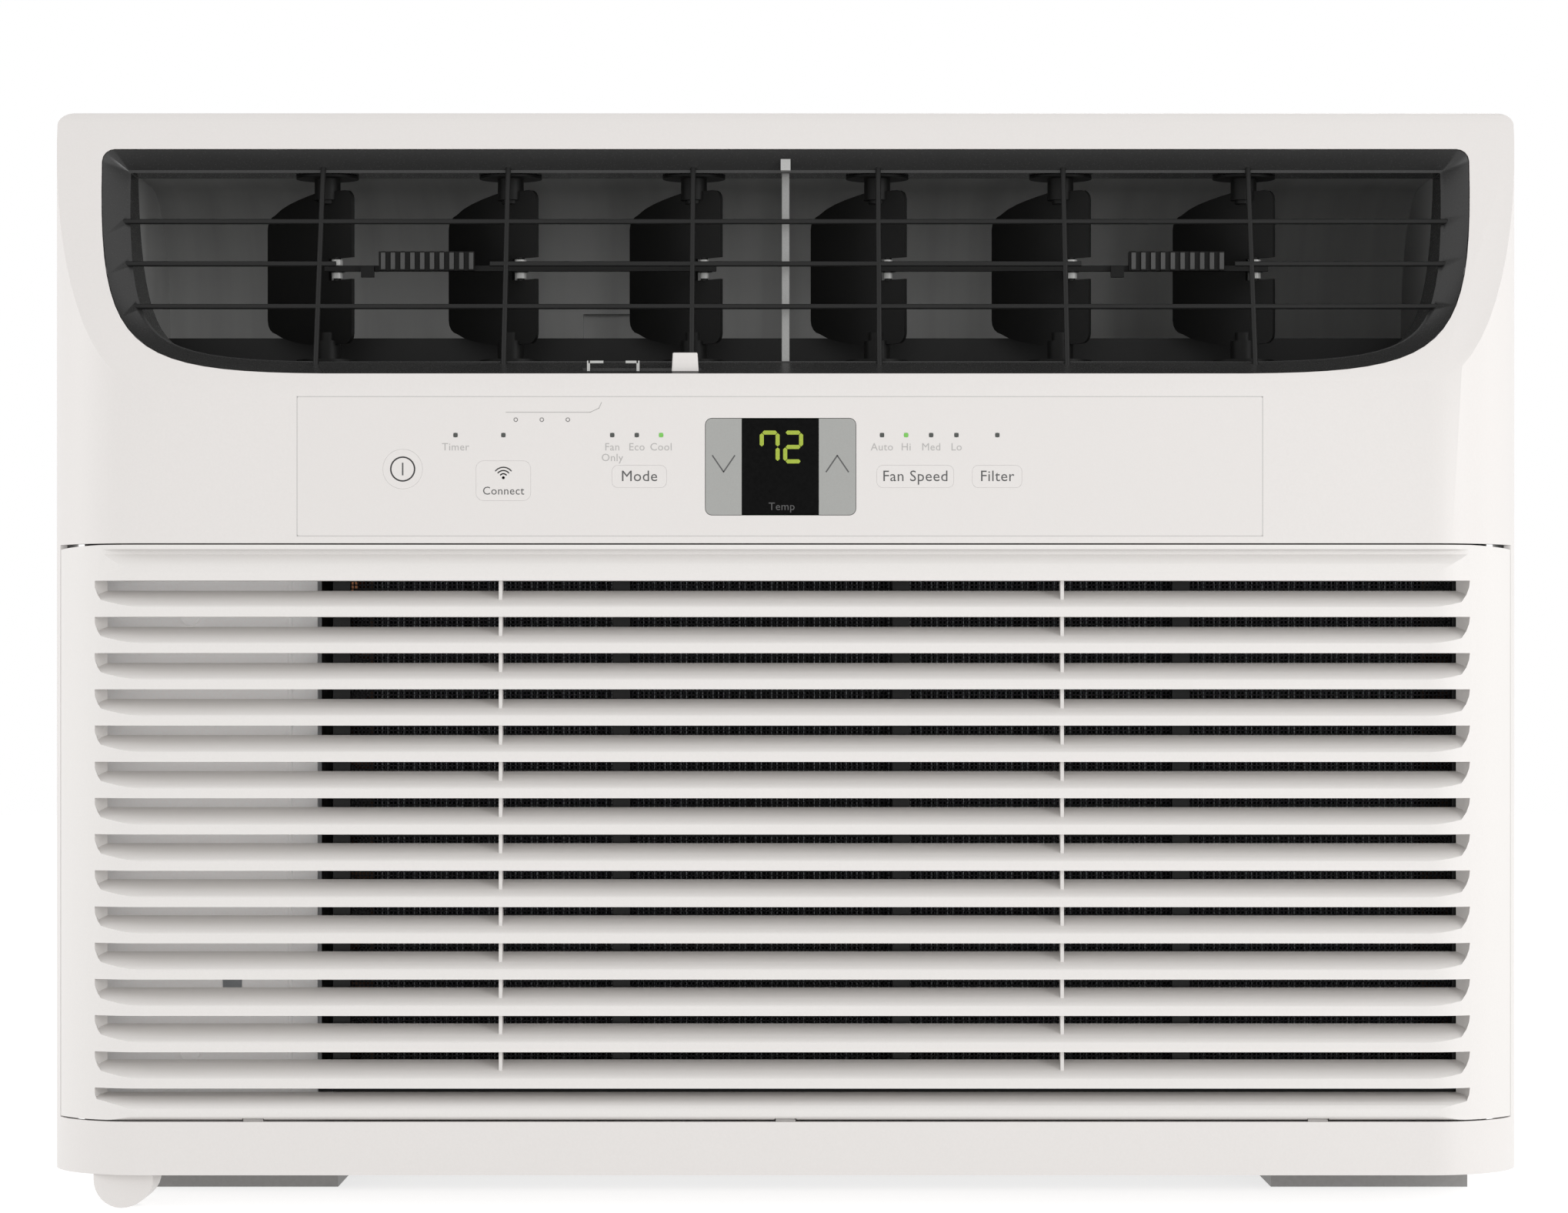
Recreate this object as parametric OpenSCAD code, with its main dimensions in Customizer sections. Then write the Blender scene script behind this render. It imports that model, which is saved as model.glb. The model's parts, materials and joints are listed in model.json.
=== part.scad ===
// Room air conditioner for a window: a sleeve cabinet, and a chassis that slides out of it with the
// front panel, a tilting intake grille, swivelling discharge vanes and a twin-fan motor.
// +X is the viewer's right, -Y is the room side and +Z is up. Units are millimetres.

/* [Overall] */
// Width of the front panel
panel_w = 600; // [596:1:606]
// Depth from the front face to the back edge of the cabinet
overall_d = 565; // [560:1:575]
// Height from the feet to the top of the front panel
overall_h = 448; // [446:1:452]

/* [Front panel] */
// Height of the panel's lower edge above the feet
panel_z0 = 14; // [13.5:0.5:14.5]
// Depth of the front panel from its face to its back edge
panel_d = 82; // [80:1:86]
// Wall thickness of the front mouldings
wall = 2.6; // [2.4:0.1:2.8]
// Half width of the rounded cheek, seen from above
cheek_x = 40; // [36:1:44]
// Depth of the rounded cheek, seen from above
cheek_y = 43; // [40:1:46]
// Height at which the upper face starts to lean back
lean_z0 = 334; // [333:1:335]
// How far back the upper face has leaned at the top edge
lean_d = 43; // [42:1:44]
// Height of the seam between the control face and the grille
seam_top = 268.8; // [268:0.2:269]
// Height of the seam between the grille and the base strip
seam_low = 35.5; // [35:0.5:36]
// Depth to which the grille wraps round the cheeks
grille_wrap = 24; // [22:1:25]

/* [Intake grille] */
// Number of through slots
slot_count = 15; // [13:1:15]
// Distance between slots
slot_pitch = 14.63; // [14.5:0.01:14.7]
// Height of the upper edge of the top slot
slot_z1 = 253.8; // [253:0.2:254]
// Visible height of one slot
slot_gap = 3.9; // [3:0.1:4.2]
// Depth of the louvred part of the grille
grille_t = 13; // [12:0.5:13.5]

/* [Discharge vanes] */
// Distance between neighbouring vane pivots
vane_pitch = 76.3; // [75:0.1:77]
// Length of a vane from its front edge to its rear edge
vane_chord = 52; // [48:0.5:53]
// Height of a vane
vane_h = 63.6; // [60:0.2:64]
// Angle by which the vanes are turned to the viewer's right
vane_angle = 48; // [40:1:50]
// Depth of the vane pivots behind the front face
vane_d = 62.6; // [62:0.2:64]

/* [Fans] */
// Distance of the fan shaft to the viewer's right of the middle
shaft_x = 50; // [46:1:52]
// Height of the fan shaft
shaft_z = 185; // [183:1:186]
// Outer radius of the blower wheel
blower_r = 108; // [100:1:110]
// Outer radius of the condenser fan with its slinger ring
fan_r = 160; // [150:1:161]

/* [Cabinet] */
// Width of the sleeve cabinet
cab_w = 588; // [586:1:589]
// Thickness of the sheet steel
sheet = 1.2; // [1:0.1:1.4]

/* [Hidden] */
$fn = 48;

front_y = -overall_d / 2;
rear_y = overall_d / 2;
half_w = panel_w / 2;
back_of_panel = front_y + panel_d;
lean = lean_d / (overall_h - lean_z0);

// Depth coordinate of the leaning face at a height, set back by recess
function face_y(z, recess = 0) = front_y + max(0, z - lean_z0) * lean + recess;

// Points of a cubic curve
function curve(a, b, c, d, n) = [for (i = [0:n]) let (t = i / n, s = 1 - t)
    s * s * s * a + 3 * s * s * t * b + 3 * s * t * t * c + t * t * t * d];

// Points of an arc of an ellipse about c
function arc(c, rx, ry, a0, a1, n) = [for (i = [0:n]) let (a = a0 + (a1 - a0) * i / n)
    [c[0] + rx * cos(a), c[1] + ry * sin(a)]];

// Rounded rectangle about the middle
function round_rect(w, h, r, n = 6) = concat(
    arc([w / 2 - r, h / 2 - r], r, r, 0, 90, n), arc([r - w / 2, h / 2 - r], r, r, 90, 180, n),
    arc([r - w / 2, r - h / 2], r, r, 180, 270, n), arc([w / 2 - r, r - h / 2], r, r, 270, 360, n));

// Extrudes a shape drawn in X and Z from y0 to y1
module along_y(y0, y1) { translate([0, y1, 0]) rotate([90, 0, 0]) linear_extrude(y1 - y0) children(); }

// Extrudes a shape drawn in Y and Z from x0 to x1
module along_x(x0, x1) { translate([x0, 0, 0]) rotate([90, 0, 90]) linear_extrude(x1 - x0) children(); }

// A box from its low corner to its high corner
module box(lo, hi) { translate(lo) cube(hi - lo); }

// A round bar from y0 to y1
module rod_y(r, y0, y1, x = 0, z = 0) { translate([x, y1, z]) rotate([90, 0, 0]) cylinder(r = r, h = y1 - y0); }

// ---------------------------------------------------------------- discharge opening outline

open_top = 432;
open_low = 337.4;
open_half = 280.8;
open_corner = 5;
open_sweep = 130;

// One half of the opening's outline, from the top corner round to the flat lower edge, in X and Z
function half_opening(n) = concat(
    arc([open_half - open_corner, open_top - open_corner], open_corner, open_corner, 90, 0, 4),
    curve([open_half, open_top - 6], [open_half - 3, open_low - 7],
          [open_half - 19, open_low], [open_sweep, open_low], n));

function mirrored(p) = [for (i = [len(p) - 1:-1:0]) [-p[i][0], p[i][1]]];
function opening_outline(n = 24) = concat(half_opening(n), mirrored(half_opening(n)));

// How much narrower the bezel is along its upper and lower edges than at its sides
top_share = 0.84;
low_share = 0.54;

// The outline moved inwards by a distance along each corner's bisector, and by less along its lower edge
function inset(p, d) = [for (i = [0:len(p) - 1]) let (
    m = len(p), a = p[(i + m - 1) % m], b = p[i], c = p[(i + 1) % m],
    u = (b - a) / norm(b - a), v = (c - b) / norm(c - b),
    nu = [u[1], -u[0]], nv = [v[1], -v[0]], s = nu + nv,
    share = 1 - (1 - low_share) * max(0, s[1] / norm(s)))
    b + s * (d * share / (norm(s) * norm(s) / 2))];

// One half of the inset outline, its upper corner drawn afresh so that it never folds over
function inset_half(d) = let (
    r = max(0.5, open_corner - d), x = open_half - d, z = open_top - d * top_share - r,
    p = inset(opening_outline(), d))
    concat(arc([x - r, z], r, r, 90, 0, 4), [[x, z - 1]], [for (i = [6:len(p) / 2 - 1]) p[i]]);

// ---------------------------------------------------------------- front panel

module plan_outline(w, cx, cy, y0, y1) {
    polygon(concat(
        arc([cx - w / 2, y0 + cy], cx, cy, 180, 270, 14),
        arc([w / 2 - cx, y0 + cy], cx, cy, 270, 360, 14), [[w / 2, y1], [-w / 2, y1]]));
}

// The body of the front mouldings, drawn in by a distance on every side but the back
module front_form(t, z0, z1, y1) {
    top = overall_h - t;
    top_r = 8;
    lean_y = lean_d + front_y + t * 0.9;
    intersection() {
        translate([0, 0, z0]) linear_extrude(z1 - z0)
            plan_outline(panel_w - 2 * t, cheek_x - t, cheek_y - t, front_y + t, y1);
        along_x(-half_w, half_w) polygon(concat(
            [[y1, z0], [front_y + t, z0], [front_y + t, lean_z0]],
            curve([lean_y - 2, top - 5], [lean_y - 0.5, top - 1.2], [lean_y + 1, top], [lean_y + 6, top], 5),
            [[y1, top]]));
        along_y(front_y - 1, y1 + 1) polygon(concat(
            [[-half_w + t, z0 - 1]], arc([-half_w + t + top_r, top - top_r + 2], top_r, top_r - 2, 180, 90, 6),
            arc([half_w - t - top_r, top - top_r + 2], top_r, top_r - 2, 90, 0, 6), [[half_w - t, z0 - 1]]));
    }
}

overlay = [[-197, 271.7], [192.4, 327.9]];
overlay_t = 0.5;
cluster = [[-32.4, 280.1], [28.4, 319.2]];
display_x = [-17.5, 13.2];
key_gap = 0.05;
cluster_gap = 0.2;
key_reach = 8.1;
light_r = 0.9;
light_z = 312.4;
light_x = [-133.1, -113.8, -69.9, -60, -50.2, 38.9, 48.6, 58.7, 68.9, 85.4];
// Each printed key: centre x, centre z, width, height, corner radius
keys = [["key_power", -154.4, 298.7, 16, 16, 7.9], ["key_connect", -113.8, 294, 22, 16, 3],
        ["key_mode", -59, 295.7, 22, 9, 2.5], ["key_fan", 52.3, 295.7, 31, 9, 2.5],
        ["key_filter", 85.3, 295.7, 20, 9, 2.5]];

module overlay_outline(grow = 0) {
    w = overlay[1][0] - overlay[0][0] + 2 * grow;
    h = overlay[1][1] - overlay[0][1] + 2 * grow;
    translate((overlay[0] + overlay[1]) / 2) polygon(round_rect(w, h, 1));
}

module key_outline(k, grow) {
    translate([k[1], k[2]]) polygon(round_rect(k[3] + 2 * grow, k[4] + 2 * grow, k[5] + grow));
}

module cluster_outline(grow) {
    size = cluster[1] - cluster[0];
    translate((cluster[0] + cluster[1]) / 2)
        polygon(round_rect(size[0] + 2 * grow, size[1] + 2 * grow, 2.7 + grow));
}

module control_cuts(y0, y1) {
    along_y(y0, y1) {
        cluster_outline(cluster_gap / 2);
        for (k = keys) key_outline(k, key_gap);
    }
    for (x = light_x) rod_y(light_r + 0.05, y0, y1, x, light_z);
}

hinge_r = 3;
hinge_y = front_y + hinge_r;
hinge_z = seam_low + 0.6 + hinge_r;
hinge_x = [-215, 0, 215];
ear_w = 8;
ear_r = 1.6;
pin_r = 0.8;

module hinge_ears() {
    for (x = hinge_x) difference() {
        union() {
            translate([x - ear_w / 2, hinge_y, hinge_z]) rotate([0, 90, 0]) cylinder(r = ear_r, h = ear_w);
            box([x - ear_w / 2, hinge_y, seam_low - 4], [x + ear_w / 2, hinge_y + ear_r, hinge_z]);
        }
        translate([x - ear_w, hinge_y, hinge_z]) rotate([0, 90, 0]) cylinder(r = pin_r + 0.05, h = 2 * ear_w);
    }
}

lever_x = -40.6;
lever_travel = 35;
outlet_x = -268;
outlet_y = front_y + 20;
outlet_r = 5.2;

module front_panel() {
    color([0.9, 0.89, 0.87]) {
        difference() {
            union() {
                difference() {
                    front_form(0, panel_z0, overall_h, back_of_panel);
                    front_form(wall, panel_z0 + wall, overall_h, back_of_panel + 1);
                    // grille window with its wrapped cheeks
                    box([-half_w - 1, front_y - 1, seam_low],
                        [half_w + 1, front_y + grille_wrap + 0.9, seam_top]);
                    along_y(front_y - 1, back_of_panel - 10) polygon(opening_outline());
                }
                // ledges over and under the grille
                box([-half_w + 30, front_y + 1.5, seam_top], [half_w - 30, front_y + 40, seam_top + 2]);
                box([-half_w + 30, front_y + 1.5, seam_low - 2], [half_w - 30, front_y + 22, seam_low]);
                hinge_ears();
            }
            along_y(front_y - 1, front_y + overlay_t) overlay_outline(0.1);
            control_cuts(front_y - 1, front_y + 12);
            // passage of the cord above its outlet
            translate([outlet_x, outlet_y, panel_z0 - 1]) cylinder(r = outlet_r + 0.8, h = wall + 2);
        }
    }
}

// ---------------------------------------------------------------- discharge louver

bezel_in = 10;

// A ring swept round the opening: each corner of its section is an inset, and a recess from the leaning
// face or, as a third value, a depth of its own
module opening_ring(section) {
    n = len(section);
    loops = [for (s = section) concat(inset_half(s[0]), mirrored(inset_half(s[0])))];
    m = len(loops[0]);
    points = [for (k = [0:n - 1]) let (s = section[k])
        for (p = loops[k]) [p[0], len(s) > 2 ? s[2] : face_y(p[1], s[1]), p[1]]];
    faces = [for (k = [0:n - 1]) for (i = [0:m - 1]) let (
        a = k * m + i, b = k * m + (i + 1) % m, c = ((k + 1) % n) * m + (i + 1) % m, d = ((k + 1) % n) * m + i)
        each [[a, b, c], [a, c, d]]];
    polyhedron(points, faces, convexity = 4);
}

pivot_r = 2.4;
pivot_y = front_y + vane_d;
vane_z0 = 353.4;
rail_t = 2.4;
rail_y = [pivot_y - 9, pivot_y + 9];
rail_top = open_top - bezel_in * top_share;
rail_low = open_low + bezel_in * low_share;
pivots = [for (i = [-2.5:1:2.5]) i * vane_pitch];

// Flat rail that the vanes turn in
module vane_rail(z0, half, y0) { box([-half, y0, z0], [half, rail_y[1], z0 + rail_t]); }

wire_r = 1.1;
wire_recess = 9.8;
// Each level wire: height, left end, right end. The middle one is open in front of the thumb grips.
wires = [[366, -266, 266], [384, -270.2, -184], [384, -121, 121], [384, 184, 270.2], [402, -272, 272]];
wire_top = rail_top + 2;
wire_low = rail_low - 2;

// The guard's level and upright wires
module guard_wires(r, sides) {
    h = (wire_top - wire_low) * sqrt(1 + lean * lean);
    for (w = wires) translate([w[1], face_y(w[0], wire_recess), w[0]])
        rotate([0, 90, 0]) cylinder(r = r, h = w[2] - w[1], $fn = sides);
    for (x = pivots) translate([x, face_y(wire_low, wire_recess), wire_low])
        rotate([-atan(lean), 0, 0]) cylinder(r = r, h = h, $fn = sides);
}

module louver_grid() { color([0.15, 0.15, 0.15]) guard_wires(wire_r, 24); }

module louver_bezel() {
    color([0.2, 0.2, 0.2]) difference() {
        union() {
            opening_ring([[0.4, 0.6], [bezel_in - 0.6, 10.2], [bezel_in + 0.7, 10.8], [bezel_in + 0.7, 12.4],
                          [bezel_in, 13], [bezel_in, 0, rail_y[1]],
                          [bezel_in - 1.6, 0, rail_y[1]], [bezel_in - 1.6, 14], [0.4, 4]]);
            vane_rail(rail_top, 262, face_y(rail_top, 12));
            vane_rail(rail_low - rail_t, 222, face_y(rail_low, 11.6));
        }
        // slit of the vent lever, and the sockets of the guard wires
        box([lever_x - lever_travel - 6.6, lever_y[0] - 0.4, open_low - 2],
            [lever_x + 6.6, lever_y[1] + 0.4, open_low + 9.6]);
        guard_wires(wire_r + 0.05, 16);
        for (x = pivots) for (z = [rail_low - rail_t, rail_top]) translate([x, pivot_y, z - 1])
            cylinder(r = pivot_r + 0.08, h = rail_t + 2);
    }
}

// Light post between the two banks of vanes, standing on the lower rail behind the wires
module centre_post() {
    recess = [13.2, 15.6];
    color([0.88, 0.87, 0.85]) along_x(-1.6, 1.6) polygon([
        [face_y(rail_low, recess[0]), rail_low], [face_y(rail_top, recess[0]), rail_top],
        [face_y(rail_top, recess[1]), rail_top], [face_y(rail_low, recess[1]), rail_low]]);
}

// ---------------------------------------------------------------- vanes and their links

vane_t = 1.6;
vane_front = 0.3 * vane_chord;
vane_rear = 0.7 * vane_chord;
link_reach = 6;
link_pin_r = 1.5;
link_z = 384.5;
link_t = 2.4;

// Vane outline in its own plane: front edge at -vane_front, rear edge at +vane_rear
module vane_outline() {
    polygon(concat(
        arc([4 - vane_front, vane_h - 4], 4, 4, 180, 90, 4), [[6, vane_h]],
        curve([6, vane_h], [15, vane_h - 1.6], [26, vane_h - 3.6], [vane_rear - 5, vane_h - 7.4], 5),
        arc([vane_rear - 6, vane_h - 13.4], 6, 6, 80, 0, 4), arc([vane_rear - 6, 12], 6, 6, 0, -80, 4),
        curve([vane_rear - 5, 6.1], [26, 2.8], [15, 1], [6, 0], 5),
        arc([4 - vane_front, 4], 4, 4, 270, 180, 4)));
}

module vane(x) {
    slot_h = 9;
    color([0.1, 0.1, 0.1]) translate([x, pivot_y, vane_z0]) rotate([0, 0, vane_angle]) {
        difference() {
            union() {
                translate([-vane_t / 2, 0, 0]) rotate([90, 0, 90]) linear_extrude(vane_t) vane_outline();
                for (z = [-2, vane_h - 5]) translate([0, 0, z]) cylinder(r = 3.6, h = 7);
            }
            // notch in which the link's ear runs
            box([-4, -vane_front - 1, link_z - vane_z0 - slot_h / 2],
                [4, -link_reach + 4.4, link_z - vane_z0 + slot_h / 2]);
        }
        // journals that turn in the rails, and the pin that the link is snapped on
        translate([0, 0, rail_low - rail_t - vane_z0])
            cylinder(r = pivot_r, h = vane_z0 - rail_low + rail_t - 1);
        translate([0, 0, vane_h + 1]) cylinder(r = pivot_r, h = rail_top + rail_t - vane_z0 - vane_h - 1);
        translate([0, -link_reach, link_z - vane_z0 - slot_h / 2 - 0.5])
            cylinder(r = link_pin_r, h = slot_h + 1);
    }
}

function pin_place(x) = [x + link_reach * sin(vane_angle), pivot_y - link_reach * cos(vane_angle)];

// Link bar across three vanes, with its ribbed thumb grip
module vane_link(first, grip_x) {
    grip_w = 39.6;
    grip_h = 8;
    bar_y = pin_place(first)[1] - 3.2;
    color([0.12, 0.12, 0.12]) {
        difference() {
            union() {
                for (i = [0:2]) translate([pin_place(pivots[0])[0] - pivots[0] + first + i * vane_pitch,
                                           pin_place(first)[1], link_z - link_t / 2])
                    cylinder(r = 3.2, h = link_t);
                box([pin_place(first)[0] - 5, bar_y - 1.4, link_z - link_t / 2],
                    [pin_place(first)[0] + 2 * vane_pitch + 5, bar_y + 1, link_z + link_t / 2]);
                box([grip_x - grip_w / 2, bar_y - 4, link_z - 1.2],
                    [grip_x + grip_w / 2, bar_y + 1, link_z + 6.8]);
                for (i = [0:9]) box([grip_x - grip_w / 2 + 1 + i * 4.05, bar_y - 5, link_z - 1.2],
                                    [grip_x - grip_w / 2 + 2.8 + i * 4.05, bar_y - 3.9, link_z - 1.2 + grip_h]);
            }
            for (i = [0:2]) translate([pin_place(first)[0] + i * vane_pitch, pin_place(first)[1], link_z - 5])
                cylinder(r = link_pin_r + 0.06, h = 10);
        }
    }
}

// ---------------------------------------------------------------- fresh-air vent

lever_y = [front_y + 4.4, front_y + 6.8];
door = [[-95, 352], [-35, 398]];
door_t = 1.5;
bulk_y = [-82, -80.5];
door_hinge = [bulk_y[1] + 2.4, door[1][1] + 2];

module vent_lever() {
    color([0.92, 0.91, 0.89]) {
        along_y(lever_y[0], lever_y[1]) translate([lever_x, 0])
            polygon([[-6, open_low - 8], [6, open_low - 8], [5, open_low + 8.6], [-5, open_low + 8.6]]);
        box([lever_x - 9, lever_y[0], open_low - 10.5], [lever_x + 9, lever_y[1] + 4, open_low - 8]);
    }
}

module vent_door() {
    y0 = bulk_y[1] + 0.5;
    color([0.25, 0.25, 0.25]) {
        box([door[0][0], y0, door[0][1]], [door[1][0], y0 + door_t, door[1][1]]);
        box([door[0][0], y0, door[1][1]], [door[1][0], y0 + door_t, door_hinge[1]]);
        translate([door[0][0] - 6, door_hinge[0], door_hinge[1]]) rotate([0, 90, 0])
            cylinder(r = 1.9, h = door[1][0] - door[0][0] + 12);
    }
}

// ---------------------------------------------------------------- control face

module control_overlay() {
    color([0.88, 0.87, 0.85]) difference() {
        along_y(front_y, front_y + overlay_t) overlay_outline();
        control_cuts(front_y - 1, front_y + 2);
    }
}

module display_window() {
    color([0.03, 0.03, 0.03])
        box([display_x[0], front_y, cluster[0][1] + 0.4], [display_x[1], front_y + 3, cluster[1][1] - 0.4]);
}

module indicator_lights() {
    color([0.1, 0.12, 0.1]) for (x = light_x) rod_y(light_r, front_y, front_y + 9, x, light_z);
}

board_y = front_y + 14;

module control_board() {
    color([0.1, 0.35, 0.15]) box([-180, board_y, 276], [150, board_y + 1.6, 326]);
    color([0.1, 0.1, 0.1]) {
        for (k = keys) box([k[1] - 3, board_y - 5, k[2] - 3], [k[1] + 3, board_y, k[2] + 3]);
        for (x = [-25, 20.7]) box([x - 3, board_y - 5, 296.7], [x + 3, board_y, 302.7]);
        for (x = light_x) rod_y(1.5, board_y - 4.5, board_y, x, light_z);
        box([-16, board_y - 8, 282], [12, board_y, 317]);
        box([110, board_y + 1.6, 290], [140, board_y + 6, 312]);
    }
}

module printed_key(k) {
    color([0.88, 0.87, 0.85]) {
        along_y(front_y, front_y + 4) key_outline(k, 0);
        rod_y(2.5, front_y + 4, front_y + key_reach, k[1], k[2]);
    }
}

// Half of the grey cluster on one side of the display
module temp_key(x0, x1, px) {
    color([0.62, 0.62, 0.61]) {
        along_y(front_y, front_y + 4) intersection() {
            cluster_outline(-cluster_gap / 2);
            translate([x0, cluster[0][1]]) square([x1 - x0, cluster[1][1] - cluster[0][1]]);
        }
        rod_y(2.5, front_y + 4, front_y + key_reach, px, 299.7);
    }
}

// ---------------------------------------------------------------- intake grille

scoop_x = [-279.7, 276.6];
scoop_drop = 11.1;
last_slot = slot_z1 - (slot_count - 1) * slot_pitch;

// Section of one scoop below a slot, in Y and Z about the slot's upper edge. A larger bend keeps it
// shallow for longer, and over is how far it runs out of the face at its foot.
function scoop_section(gap, bend, over) = concat(
    [[-1, 0], [grille_t + 1, 0], [grille_t + 1, -gap]],
    [for (i = [0:6]) let (t = 1 - i / 6)
        [(grille_t + over) * pow(t, bend) - over, -gap - (scoop_drop + over - gap) * (1 - t)]],
    [[-1, -scoop_drop - over]]);

// Section of the blind scoop above the top slot
blind_depth = 3.4;
blind_drop = 10.4;
function blind_section() = concat([[-1, 0], [blind_depth, 0], [blind_depth, -2]],
    [for (i = [1:5]) let (t = 1 - i / 5)
        [(blind_depth + 0.2) * pow(t, 1.6) - 0.2, -2 - (blind_drop - 1.7) * (1 - t)]],
    [[-1, -blind_drop - 0.3]]);

// A cut across the grille's face, hanging from z, whose ends are round from the front and from above
module scoop(section, z, drop) {
    reach = 12;
    deep = grille_t + 2;
    intersection() {
        along_x(scoop_x[0] - 3, scoop_x[1] + 3) translate([front_y, z]) polygon(section);
        along_y(front_y - 2, front_y + deep + 1) polygon(concat(
            [[scoop_x[0], z + 2]], arc([scoop_x[0] + reach, z + 0.5], reach, drop + 1.5, 180, 270, 6),
            arc([scoop_x[1] - reach, z + 0.5], reach, drop + 1.5, 270, 360, 6), [[scoop_x[1], z + 2]]));
        translate([0, 0, z - drop - 3]) linear_extrude(drop + 6) polygon(concat(
            [[scoop_x[0] - 0.6, front_y - 3]], arc([scoop_x[0] + 9, front_y - 1], 9.6, deep + 1, 180, 90, 6),
            arc([scoop_x[1] - 9, front_y - 1], 9.6, deep + 1, 90, 0, 6), [[scoop_x[1] + 0.6, front_y - 3]]));
    }
}

// The grille without its cuts: a shell that follows the panel's form, filled behind the slats
module grille_form() {
    z0 = seam_low + 0.6;
    z1 = seam_top - 0.6;
    back = front_y + grille_wrap;
    intersection() {
        front_form(0, z0 - 1, z1 + 1, front_y + 60);
        union() {
            difference() {
                box([-half_w - 1, front_y - 1, z0 - 1], [half_w + 1, front_y + 50, z1 + 1]);
                front_form(wall, z0 - 2, z1 + 2, front_y + 61);
            }
            box([scoop_x[0] - 4, front_y - 1, hinge_z + 4], [scoop_x[1] + 4, front_y + grille_t, z1 + 1]);
        }
        along_x(-half_w - 1, half_w + 1) polygon(concat(
            arc([hinge_y, hinge_z], hinge_r, hinge_r, 270, 180, 6), [[front_y - 1, hinge_z], [front_y - 1, z1]],
            [[front_y + 4, z1], [back, z1 - 1.3], [back, z0]]));
    }
}

rib_x = [-115.2, 111.8];

module intake_grille() {
    color([0.92, 0.91, 0.89]) {
        difference() {
            union() {
                grille_form();
                translate([-250, hinge_y, hinge_z]) rotate([0, 90, 0]) cylinder(r = hinge_r - 0.06, h = 500);
            }
            for (i = [0:slot_count - 2])
                scoop(scoop_section(slot_gap, 1.6, 0.4), slot_z1 - i * slot_pitch, scoop_drop);
            scoop(scoop_section(2.4, 3.4, 0.06), last_slot, scoop_drop);
            scoop(blind_section(), slot_z1 + 12.6, blind_drop);
            // pockets for the hinge ears, and the bore of the pins
            for (x = hinge_x) {
                box([x - ear_w / 2 - 0.4, hinge_y - ear_r - 0.3, seam_low],
                    [x + ear_w / 2 + 0.4, hinge_y + 12, hinge_z + ear_r + 0.4]);
                translate([x - 16, hinge_y, hinge_z]) rotate([0, 90, 0]) cylinder(r = pin_r + 0.01, h = 32);
            }
        }
        for (x = rib_x) box([x - 0.7, front_y + 4, 50], [x + 0.7, front_y + grille_t - 0.4, 256]);
    }
}

module grille_hinge_pins() {
    color([0.6, 0.6, 0.62]) for (x = hinge_x) translate([x - 14, hinge_y, hinge_z])
        rotate([0, 90, 0]) cylinder(r = pin_r, h = 28);
}

filter_x = [-184, 278];
filter_z = [46, 262];
filter_y = [front_y + grille_t + 3, front_y + grille_t + 9];

module filter_frame() {
    bar = 7;
    color([0.2, 0.2, 0.2]) difference() {
        union() {
            box([filter_x[0], filter_y[0], filter_z[0]], [filter_x[1], filter_y[1], filter_z[1]]);
            box([20, filter_y[0], filter_z[1]], [70, filter_y[0] + 2.5, filter_z[1] + 3]);
        }
        for (i = [0:3]) for (j = [0:1]) {
            w = (filter_x[1] - filter_x[0] - bar * 5) / 4;
            h = (filter_z[1] - filter_z[0] - bar * 3) / 2;
            x = filter_x[0] + bar + i * (w + bar);
            z = filter_z[0] + bar + j * (h + bar);
            box([x, filter_y[0] - 1, z], [x + w, filter_y[1] + 1, z + h]);
        }
    }
}

module filter_mesh() {
    color([0.12, 0.12, 0.13])
        box([filter_x[0] + 3, filter_y[1], filter_z[0] + 3],
            [filter_x[1] - 3, filter_y[1] + 0.6, filter_z[1] - 3]);
}

// ---------------------------------------------------------------- air path

duct_x = [-276, 276];
duct_y = [rail_y[1] + 0.5, bulk_y[0]];
duct_z = [344, 429];
duct_t = 2;
scroll_r0 = blower_r + 8;
scroll_r1 = blower_r + 42;
scroll_x = [shaft_x - scroll_r1, shaft_x + 50];

// Open box that turns the blower's air forwards: its back leans and its floor opens into the scroll
module discharge_duct() {
    color([0.32, 0.32, 0.32]) difference() {
        box([duct_x[0], duct_y[0], duct_z[0]], [duct_x[1], duct_y[1], duct_z[1]]);
        intersection() {
            box([duct_x[0] + duct_t, duct_y[0] - 1, duct_z[0] + duct_t],
                [duct_x[1] - duct_t, duct_y[1] - duct_t, duct_z[1] - duct_t]);
            along_x(duct_x[0], duct_x[1]) polygon(concat([[duct_y[0] - 1, duct_z[0]]],
                [[duct_y[1] - duct_t, duct_z[0]]],
                arc([duct_y[1] - 62, duct_z[1] - 62], 60, 60, 0, 90, 8), [[duct_y[0] - 1, duct_z[1] - duct_t]]));
        }
        box([scroll_x[0] + 2, duct_y[1] - 92, duct_z[0] - 1], [scroll_x[1] - 2, duct_y[1] - 2, duct_z[0] + 3]);
        box([door[0][0] + 5, duct_y[1] - 3, door[0][1] + 4], [door[1][0] - 5, duct_y[1] + 1, door[1][1] - 4]);
    }
}

house_y = [-180, bulk_y[0]];

// Outline of the scroll, from the tongue beside the outlet round to the outlet's far side
module scroll_area(grow) {
    polygon(concat([[scroll_x[1] + grow, duct_z[0]]], [for (i = [0:30]) let (
        a = 70 - 250 * i / 30, r = scroll_r0 + (scroll_r1 - scroll_r0) * i / 30 + grow)
        [shaft_x + r * cos(a), shaft_z + r * sin(a)]], [[scroll_x[0] - grow, duct_z[0]]]));
}

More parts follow.
